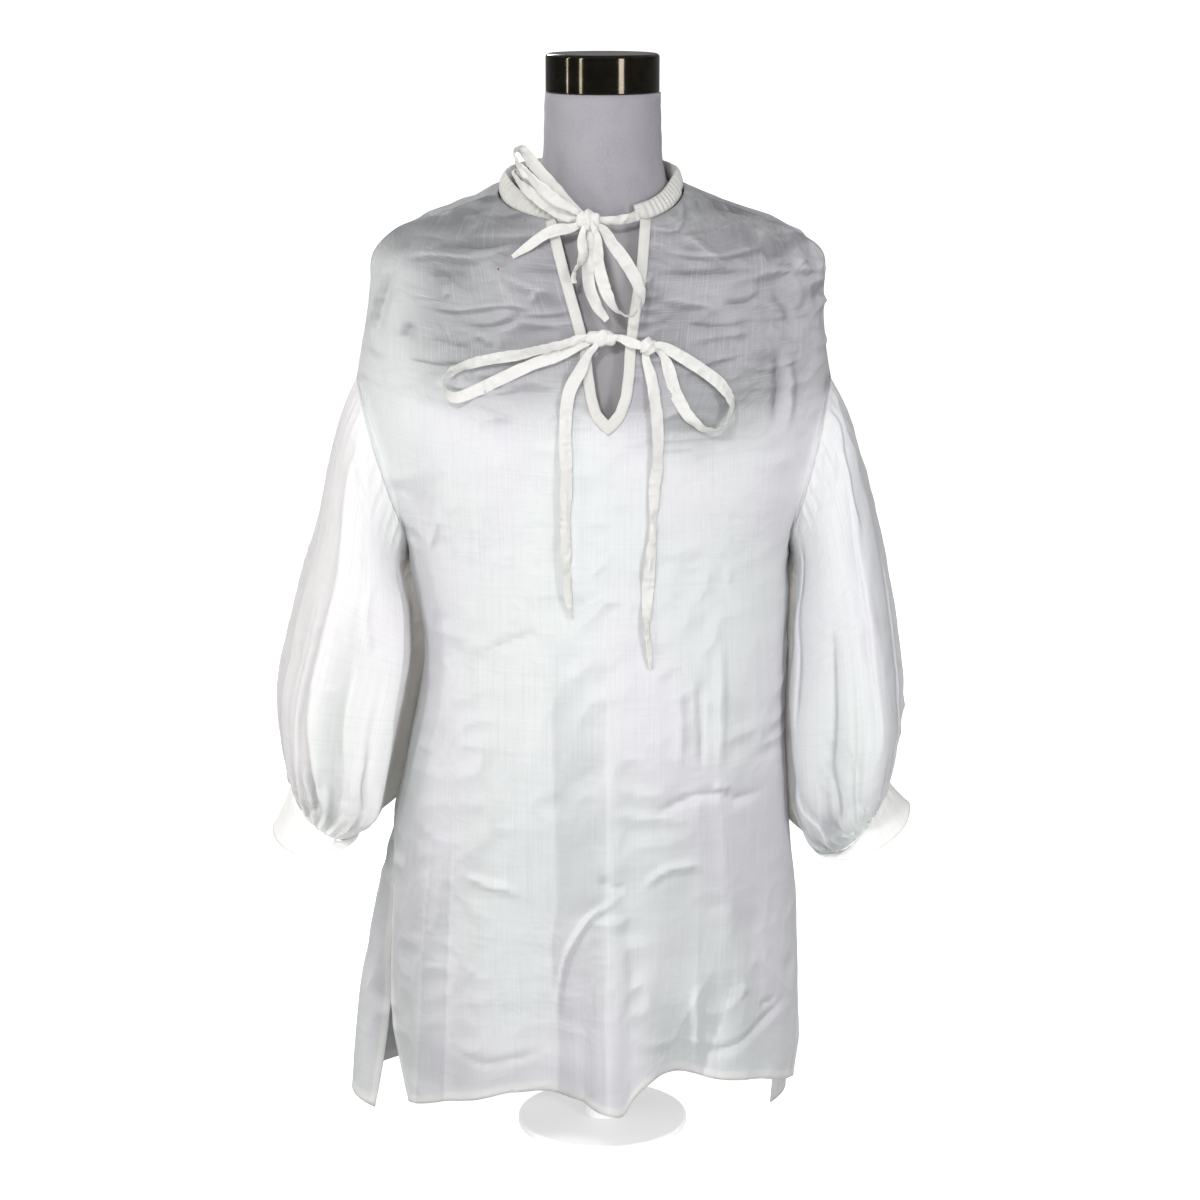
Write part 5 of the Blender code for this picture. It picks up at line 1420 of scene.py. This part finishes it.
def wholeFront():  # the front without its opening, and its upper edge
    rows = panelRows(-1)
    base = np.linspace(0, 1, 41)[None, :]
    start = np.zeros((len(rows), 1))
    halves = [panelHalf(rows, start, base, half, -1, frontFolds) for half in (-1, 1)]
    points, faces, _ = joinHalves(*halves, *halves)
    topLine = np.vstack([halves[0][0][::-1], halves[1][0][1:]])
    return BVHTree.FromPolygons(points.tolist(), faces), topLine


wholeTree, topLine = wholeFront()


def frontDepth(x, z):  # the front's outer face as seen from the front, over the opening too
    z = min(z, float(np.interp(x, topLine[:, 0], topLine[:, 2])) - 0.0005)
    start = Vector((x, -0.4, z))
    depths = []
    for tree, wall in ((wholeTree, garment["wall"]), (frontTree, 0.0)):
        hit = tree.ray_cast(start, Vector((0, 1, 0)))[0]
        if hit is not None and hit.y < 0:
            depths.append(hit.y - wall)
    return min(depths) if depths else float(np.interp(x, topLine[:, 0], topLine[:, 1]))


def makeBinding():
    holes = np.array(keyhole)
    left = np.column_stack([holes[:, 1], holes[:, 0]])[::-1]
    right = np.column_stack([holes[:, 2], holes[:, 0]])[1:]
    inner = evenCurve(np.vstack([left, right]), binding["step"])
    ahead = unit(np.gradient(inner, axis=0))
    outward = np.column_stack([ahead[:, 1], -ahead[:, 0]])
    tip = np.array(garment["keyholeTip"])
    near = 1 - eased(np.linalg.norm(inner - tip, axis=1) / binding["tipReach"])
    outward = unit(outward * (1 - near)[:, None] + np.array([0.0, -1.0]) * near[:, None])
    width = binding["width"] + (binding["tip"] - binding["width"]) * near
    shares = np.linspace(-0.04, 1.0, binding["columns"])
    points = np.empty((len(inner), len(shares), 3))
    for i, (place, away) in enumerate(zip(inner, outward)):
        for j, share in enumerate(shares):
            x, z = place + away * width[i] * share
            points[i, j] = (x, 0, z)
            spotX, spotZ = place + away * width[i] * max(share, 0.28)
            points[i, j, 1] = frontDepth(spotX, spotZ)
    for _ in range(3):
        points[1:-1, :, 1] = (0.25 * points[:-2, :, 1] + 0.5 * points[1:-1, :, 1]
                              + 0.25 * points[2:, :, 1])
    puff = binding["puff"] * np.sin(np.pi * np.clip(shares, 0, 1)) ** 0.6
    points[..., 1] -= binding["lift"] + puff[None, :]
    points[..., 1] -= binding["unevenness"] * softNoise(points, 0.007, 31)
    uv = metres(points)
    obj = addMesh("openingBinding", points, gridFaces(*points.shape[:2]), voileBand, uv)
    faceOut(obj)
    if normalsOf(obj)[:, 1].mean() > 0:
        obj.data.flip_normals()
    giveWall(obj, binding["wall"], 0.0)
    return obj


openingBinding = makeBinding()
print("neck band and binding made")

# Ties: x, z, lift of the nearer edge, turn of the face, width; knots hold their ends

tape = {"width": 0.011, "wall": 0.0007, "step": 0.0014, "section": 12, "held": 0.35,
        "clear": 0.0010, "twist": 14, "ripple": 0.0012, "crinkle": 0.0024, "groove": 0.0004,
        "sharp": 42}
knots = {  # x, z, lift, half width, half depth, half height
    "neck": (-0.0130, 0.8850, 0.0070, 0.0105, 0.0060, 0.0085),
    "chest": (-0.0010, 0.7850, 0.0050, 0.0150, 0.0055, 0.0075),
    "right": (0.0400, 0.7785, 0.0063, 0.0070, 0.0055, 0.0075),
}
wound = {"sides": 72, "rings": 48, "groove": 0.11, "windings": 7.5, "lumps": 0.10,
         "unevenness": 0.05}


def knotPlace(name):
    x, z, lift = knots[name][:3]
    return (x, frontDepth(x, z) - lift, z)


def tapePlaces(stops):
    made = []
    for stop in stops:
        if isinstance(stop, str):
            x, y, z = knotPlace(stop)
            made.append((x, y, z, made[-1][3] if made else 0.0, tape["held"]))
            continue
        x, z, lift, turn = stop[:4]
        share = stop[4] if len(stop) > 4 else 1.0
        reach = tape["width"] / 2 * share * abs(math.sin(math.radians(turn)))
        made.append((x, frontDepth(x, z) - tape["clear"] - lift - reach, z, turn, share))
    return np.array(made, float)


def makeTape(name, stops, seed):
    line = evenCurve(smoothCurve(tapePlaces(stops), 10), tape["step"])
    centres = line[:, :3]
    for _ in range(2):
        centres[1:-1] = 0.25 * centres[:-2] + 0.5 * centres[1:-1] + 0.25 * centres[2:]
    along = unit(np.gradient(centres, axis=0))
    across = np.cross(along, np.array([0.0, -1.0, 0.0]))
    across /= np.maximum(np.linalg.norm(across, axis=1, keepdims=True), 1e-6)
    up = np.cross(across, along)
    twist = tape["twist"] * softNoise(centres, 0.03, seed + 2)
    turn = np.radians(line[:, 3] + twist)[:, None]
    flat = across * np.cos(turn) + up * np.sin(turn)
    face = np.cross(flat, along)
    share = line[:, 4] * (1 + 0.10 * softNoise(centres, 0.018, seed + 4))
    run = runAlong(centres)
    angles = np.linspace(0, 2 * np.pi, tape["section"], endpoint=False)
    half = tape["width"] / 2 * share
    thick = tape["wall"] / 2 * (1 + 2.2 * (1 - np.clip(share, 0, 1)))
    wide, deep = np.cos(angles), np.sign(np.sin(angles)) * np.abs(np.sin(angles)) ** 0.4
    points = (centres[:, None, :]
              + flat[:, None, :] * (half[:, None] * wide[None, :])[..., None]
              + face[:, None, :] * (thick[:, None] * deep[None, :])[..., None])
    ripple = (tape["ripple"] * softNoise(points, 0.012, seed)
              + tape["crinkle"] * crinkled(points, 0.0075, seed))
    groove = tape["groove"] * np.cos(1.6 * np.pi * wide)[None, :] * np.ones((len(run), 1))
    points += face[:, None, :] * (ripple + groove * share[:, None])[..., None]
    faces = gridFaces(len(centres), len(angles), closed=True)
    faces += endCaps(len(centres), len(angles))
    u = np.repeat((wide * tape["width"] / 2)[None, :], len(run), axis=0)
    v = np.repeat(run[:, None], len(angles), axis=1)
    obj = addMesh(name, points, faces, tapeCloth, np.stack([u, v], axis=-1))
    faceOut(obj)
    obj.data.set_sharp_from_angle(angle=math.radians(tape["sharp"]))
    path = [tuple(point) for point in centres]
    return obj, path, float(run[-1])


tieStops = {
    "neckTieRight": (
        (0.0323, 0.8880, -0.002, 0, 0.9), (0.0200, 0.8850, 0.001, 20, 0.9),
        (0.0080, 0.8840, 0.004, 15, 0.8), "neck",
        (0.0010, 0.8770, 0.009, 30, 0.7), (0.0085, 0.8660, 0.011, 25),
        (0.0200, 0.8510, 0.013, 10), (0.0310, 0.8320, 0.014, 20), (0.0340, 0.8170, 0.014, 60),
        (0.0260, 0.8060, 0.018, 80), (0.0130, 0.8110, 0.022, 60), (0.0030, 0.8270, 0.022, 25),
        (-0.0030, 0.8480, 0.019, 20), (-0.0050, 0.8720, 0.014, 30, 0.6), "neck",
        (-0.0180, 0.8720, 0.006, 0, 0.6), (-0.0180, 0.8640, 0.007, 0, 0.8),
        (-0.0170, 0.8560, 0.006, 20, 0.8), (-0.0200, 0.8480, 0.007, 55, 0.7),
        (-0.0250, 0.8420, 0.008, 60, 0.7), (-0.0250, 0.8320, 0.007, 30, 0.5)),
    "neckTieLeft": (
        (-0.0400, 0.8840, -0.001, 0, 0.9), (-0.0290, 0.8845, 0.002, 0, 0.7), "neck",
        (-0.0250, 0.8950, 0.009, 0, 0.7), (-0.0390, 0.9100, 0.012, 10),
        (-0.0590, 0.9310, 0.013, 15), (-0.0710, 0.9450, 0.014, 50), (-0.0780, 0.9440, 0.020, 90),
        (-0.0740, 0.9330, 0.025, 120), (-0.0600, 0.9200, 0.024, 150),
        (-0.0430, 0.9045, 0.020, 160), (-0.0270, 0.8950, 0.014, 170, 0.6), "neck",
        (-0.0270, 0.8860, 0.006, 0, 0.7), (-0.0430, 0.8930, 0.007, 10),
        (-0.0620, 0.9060, 0.007, 25), (-0.0770, 0.9190, 0.005, 70), (-0.0780, 0.9260, 0.000, 90),
        (-0.0680, 0.9200, -0.003, 60), (-0.0480, 0.9040, -0.002, 20),
        (-0.0280, 0.8920, 0.001, 10, 0.6), "neck",
        (-0.0280, 0.8780, 0.010, 0, 0.7), (-0.0400, 0.8770, 0.011, 10, 0.9),
        (-0.0520, 0.8720, 0.009, 0, 0.8), (-0.0660, 0.8620, 0.006, 0, 0.7),
        (-0.0800, 0.8530, 0.004, 0, 0.35)),
    "neckTieLong": (
        "neck", (-0.0110, 0.8720, 0.001, 5, 0.6), (-0.0130, 0.8520, 0.001, 8),
        (-0.0120, 0.8300, 0.001, 12), (-0.0050, 0.8120, 0.002, 10, 0.9),
        (0.0040, 0.8000, 0.002, 0, 0.5)),
    "chestTieLeft": (
        (-0.0190, 0.7830, 0.002, 0, 0.8), "chest",
        (-0.0180, 0.7860, 0.007, 10, 0.6), (-0.0370, 0.7800, 0.007, 15, 0.8),
        (-0.0720, 0.7715, 0.006, 30), (-0.1080, 0.7640, 0.006, 20), (-0.1310, 0.7560, 0.006, 40),
        (-0.1410, 0.7430, 0.006, 75), (-0.1330, 0.7310, 0.004, 40), (-0.1170, 0.7350, 0.001, 10),
        (-0.0900, 0.7485, 0.001, 10), (-0.0640, 0.7610, 0.001, 20), (-0.0370, 0.7710, 0.001, 15),
        (-0.0190, 0.7790, 0.003, 10, 0.6), "chest",
        (-0.0120, 0.7720, 0.006, 0, 0.6), (-0.0190, 0.7590, 0.005, 0, 0.9),
        (-0.0295, 0.7380, 0.004, 0), (-0.0330, 0.7060, 0.001, 0), (-0.0320, 0.6620, 0.001, 20),
        (-0.0330, 0.6170, 0.001, 30, 0.9), (-0.0320, 0.5760, 0.001, 35, 0.8),
        (-0.0310, 0.5530, 0.001, 20, 0.6), (-0.0280, 0.5350, 0.001, 50, 0.25)),
    "chestTieRight": (
        "chest", (0.0150, 0.7855, 0.005, 20, 0.6), (0.0220, 0.7830, 0.006, 10, 0.8),
        (0.0310, 0.7800, 0.006, 15, 0.7), "right",
        (0.0500, 0.7800, 0.008, 5, 0.6), (0.0640, 0.7725, 0.007, 15), (0.0860, 0.7585, 0.006, 10),
        (0.1050, 0.7430, 0.006, 20), (0.1140, 0.7260, 0.006, 50), (0.1090, 0.7090, 0.006, 80),
        (0.0940, 0.7040, 0.006, 60), (0.0770, 0.7160, 0.003, 15), (0.0650, 0.7360, 0.001, 10),
        (0.0590, 0.7560, 0.002, 10), (0.0520, 0.7720, 0.003, 10, 0.6), "right",
        (0.0380, 0.7680, 0.003, 0, 0.6), (0.0430, 0.7500, 0.001, 10, 0.9),
        (0.0480, 0.7160, 0.001, 20), (0.0490, 0.6840, 0.001, 30), (0.0460, 0.6530, 0.001, 10),
        (0.0450, 0.6170, 0.001, 30, 0.6), (0.0420, 0.5810, 0.001, 20),
        (0.0400, 0.5530, 0.001, 0, 0.9), (0.0400, 0.5260, 0.001, 60, 0.7),
        (0.0430, 0.4880, 0.001, 10, 0.3)),
}
ties = {}
for order, (name, stops) in enumerate(tieStops.items()):
    ties[name] = makeTape(name, stops, 70 + 3 * order)
    print(name, "length", round(ties[name][2], 4))


def makeKnot(name, key, seed, slant):
    # a lump of wound cloth: soft spiral grooves round a squashed ball
    work = bmesh.new()
    bmesh.ops.create_uvsphere(work, u_segments=wound["sides"], v_segments=wound["rings"],
                              radius=1.0)
    points = np.array([vertex.co for vertex in work.verts])
    faces = [[vertex.index for vertex in face.verts] for face in work.faces]
    work.free()
    lean = math.radians(slant)
    along = points[:, 0] * math.cos(lean) + points[:, 2] * math.sin(lean)
    over = -points[:, 0] * math.sin(lean) + points[:, 2] * math.cos(lean)
    grooves = np.cos(2.0 * np.arctan2(over, points[:, 1]) + wound["windings"] * along)
    scale = 1 + wound["groove"] * grooves + wound["lumps"] * softNoise(points, 0.45, seed)
    scale += wound["unevenness"] * softNoise(points, 0.2, seed + 1)
    placed = points * scale[:, None] * np.array(knots[key][3:6]) + np.array(knotPlace(key))
    return addMesh(name, placed, faces, tapeCloth, placed[:, [0, 2]])


neckKnot = makeKnot("neckKnot", "neck", seed=81, slant=25)
chestKnot = makeKnot("chestKnot", "chest", seed=83, slant=12)
rightKnot = makeKnot("rightKnot", "right", seed=85, slant=-30)
print("ties and knots made")

# Dress form, cap and stand

formRings = (  # side x, side z, front y, front z, back y, back z
    (0.0527, 0.9922, -0.0527, 0.9922, 0.0527, 0.9922),
    (0.0535, 0.9600, -0.0530, 0.9550, 0.0535, 0.9600),
    (0.0555, 0.9280, -0.0540, 0.9150, 0.0550, 0.9340),
    (0.0610, 0.9090, -0.0570, 0.8920, 0.0575, 0.9190),
    (0.0710, 0.9015, -0.0620, 0.8790, 0.0600, 0.9090),
    (0.1040, 0.8936, -0.0740, 0.8660, 0.0710, 0.8990),
    (0.1485, 0.8776, -0.0820, 0.8510, 0.0800, 0.8850),
    (0.1790, 0.8621, -0.0900, 0.8340, 0.0880, 0.8670),
    (0.1940, 0.8480, -0.0980, 0.8140, 0.0950, 0.8420),
    (0.1950, 0.8120, -0.1060, 0.7890, 0.1010, 0.8080),
    (0.1880, 0.7750, -0.1140, 0.7540, 0.1030, 0.7680),
    (0.1720, 0.7300, -0.1190, 0.7120, 0.1030, 0.7240),
    (0.1560, 0.6700, -0.1180, 0.6620, 0.0990, 0.6700),
    (0.1430, 0.6000, -0.1060, 0.5980, 0.0910, 0.6000),
    (0.1300, 0.5300, -0.0930, 0.5300, 0.0840, 0.5300),
    (0.1280, 0.4800, -0.0900, 0.4800, 0.0850, 0.4800),
    (0.1400, 0.4200, -0.0970, 0.4200, 0.0950, 0.4200),
    (0.1520, 0.3600, -0.1040, 0.3600, 0.1020, 0.3600),
    (0.1560, 0.3000, -0.1060, 0.3000, 0.1040, 0.3000),
    (0.1500, 0.2500, -0.1010, 0.2500, 0.1000, 0.2500))


def makeForm():
    rows = []
    for side in (-1, 1):
        given = []
        for sideX, sideZ, frontY, frontZ, backY, backZ in formRings:
            depth, height = (frontY, frontZ) if side < 0 else (backY, backZ)
            given.append((-sideX, 0, sideZ, 0, depth, height, sideX, 0, sideZ, 0))
        rows.append(smoothRows(given, form["cell"]))
    count = min(len(rows[0]), len(rows[1]))
    rows = [row[np.linspace(0, len(row) - 1, count).round().astype(int)] for row in rows]
    base = np.linspace(0, 1, form["columns"])[None, :]
    loops = []
    for i in range(count):
        ahead = [halfPoints(rows[0][i:i + 1], base, half)[0] for half in (-1, 1)]
        behind = [halfPoints(rows[1][i:i + 1], base, half)[0] for half in (-1, 1)]
        loops.append(np.vstack([ahead[0][::-1][:-1], ahead[1][:-1], behind[1][::-1][:-1],
                                behind[0][:-1]]))
    points = np.array(loops)
    away = unit(points * np.array([1, 1, 0]))
    high = eased((points[..., 2] - form["wrinkledAbove"]) / 0.05)
    wrinkles = form["wrinkle"] * softNoise(points * np.array([1, 1, 3.0]), 0.03, 91) * high
    covered = 1 - eased((points[..., 2] - form["hiddenBelow"]) / 0.035)
    points += away * (wrinkles - form["inset"] - form["slack"] * covered)[..., None]
    columns = points.shape[1]
    faces = gridFaces(count, columns, closed=True, flip=True)
    faces += endCaps(count, columns, flip=True)
    obj = addMesh("formTorso", points, faces, greyJersey)
    faceOut(obj)
    return obj


formTorso = makeForm()
cap = {"radius": 0.0515, "bottom": 0.9925, "height": 0.0345, "rim": 0.0035}


def makeCap():
    drum = addDrum(cap["radius"], cap["height"], 128)
    drum.name = "neckCap"
    roundEdges(drum, cap["rim"], 5)
    middle = cap["bottom"] + cap["height"] / 2
    for vertex in drum.data.vertices:  # moved up, its lower edge pressed nearly square
        vertex.co.z += middle
        if vertex.co.z < cap["bottom"] + cap["rim"] * 1.1:
            vertex.co.z = cap["bottom"] + (vertex.co.z - cap["bottom"]) * 0.3
    drum.data.shade_smooth()
    upright = drum.modifiers.new("upright", "WEIGHTED_NORMAL")  # keeps the side's shine straight
    upright.keep_sharp = False
    takeDown(drum)
    drum.data.materials.append(darkBronze)
    return drum


neckCap = makeCap()
for name in ("form_post", "base_plate"):
    solid = nodes[name]
    solid.data.materials.clear()
    solid.data.materials.append(whitePaint)
print("form and stand made")

# What each piece stands for


def areaOf(obj):
    return sum(polygon.area for polygon in obj.data.polygons)


def standFor(obj, *solids):
    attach(obj, "root")
    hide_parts(*solids)


pieces = (  # piece, its solid, the cut's width and length and its flat area
    (front, "front_panel", (0.50, 0.87), 0.395), (back, "back_panel", (0.50, 0.93), 0.430),
    (leftArm, "sleeve_left", (0.50, 0.42), 0.165), (rightArm, "sleeve_right", (0.50, 0.42), 0.165),
    (cuffLeft, "cuff_left", (0.21, 0.033), None), (cuffRight, "cuff_right", (0.20, 0.028), None),
    (neckBand, "neck_band", (0.44, 0.020), None),
    (openingBinding, "opening_binding", (0.37, 0.0125), None),
)
for obj, node, flat, cut in pieces:
    print("area", obj.name, round(areaOf(obj) / 2, 5), "flat", flat)
    standFor(obj, node)
for obj, node in ((buttonLeft, "cuff_button_left"), (buttonRight, "cuff_button_right"),
                  (formTorso, "form_torso"), (neckCap, "neck_cap"),
                  (neckKnot, "neck_tie_knot"), (chestKnot, "chest_tie_knot"),
                  (rightKnot, "chest_tie_knot_right")):
    standFor(obj, node)
tieNodes = {
    "neckTieRight": ("neck_tie_bridge", "neck_tie_loop_right", "neck_tie_tail_hooked"),
    "neckTieLeft": ("neck_tie_loop_upper", "neck_tie_loop_lower", "neck_tie_tail_short"),
    "neckTieLong": ("neck_tie_tail_long",),
    "chestTieLeft": ("chest_tie_loop_left", "chest_tie_tail_left"),
    "chestTieRight": ("chest_tie_bridge", "chest_tie_loop_right", "chest_tie_tail_right"),
}
for name, (obj, path, length) in ties.items():
    standFor(obj, *tieNodes[name])

print("scene finished")
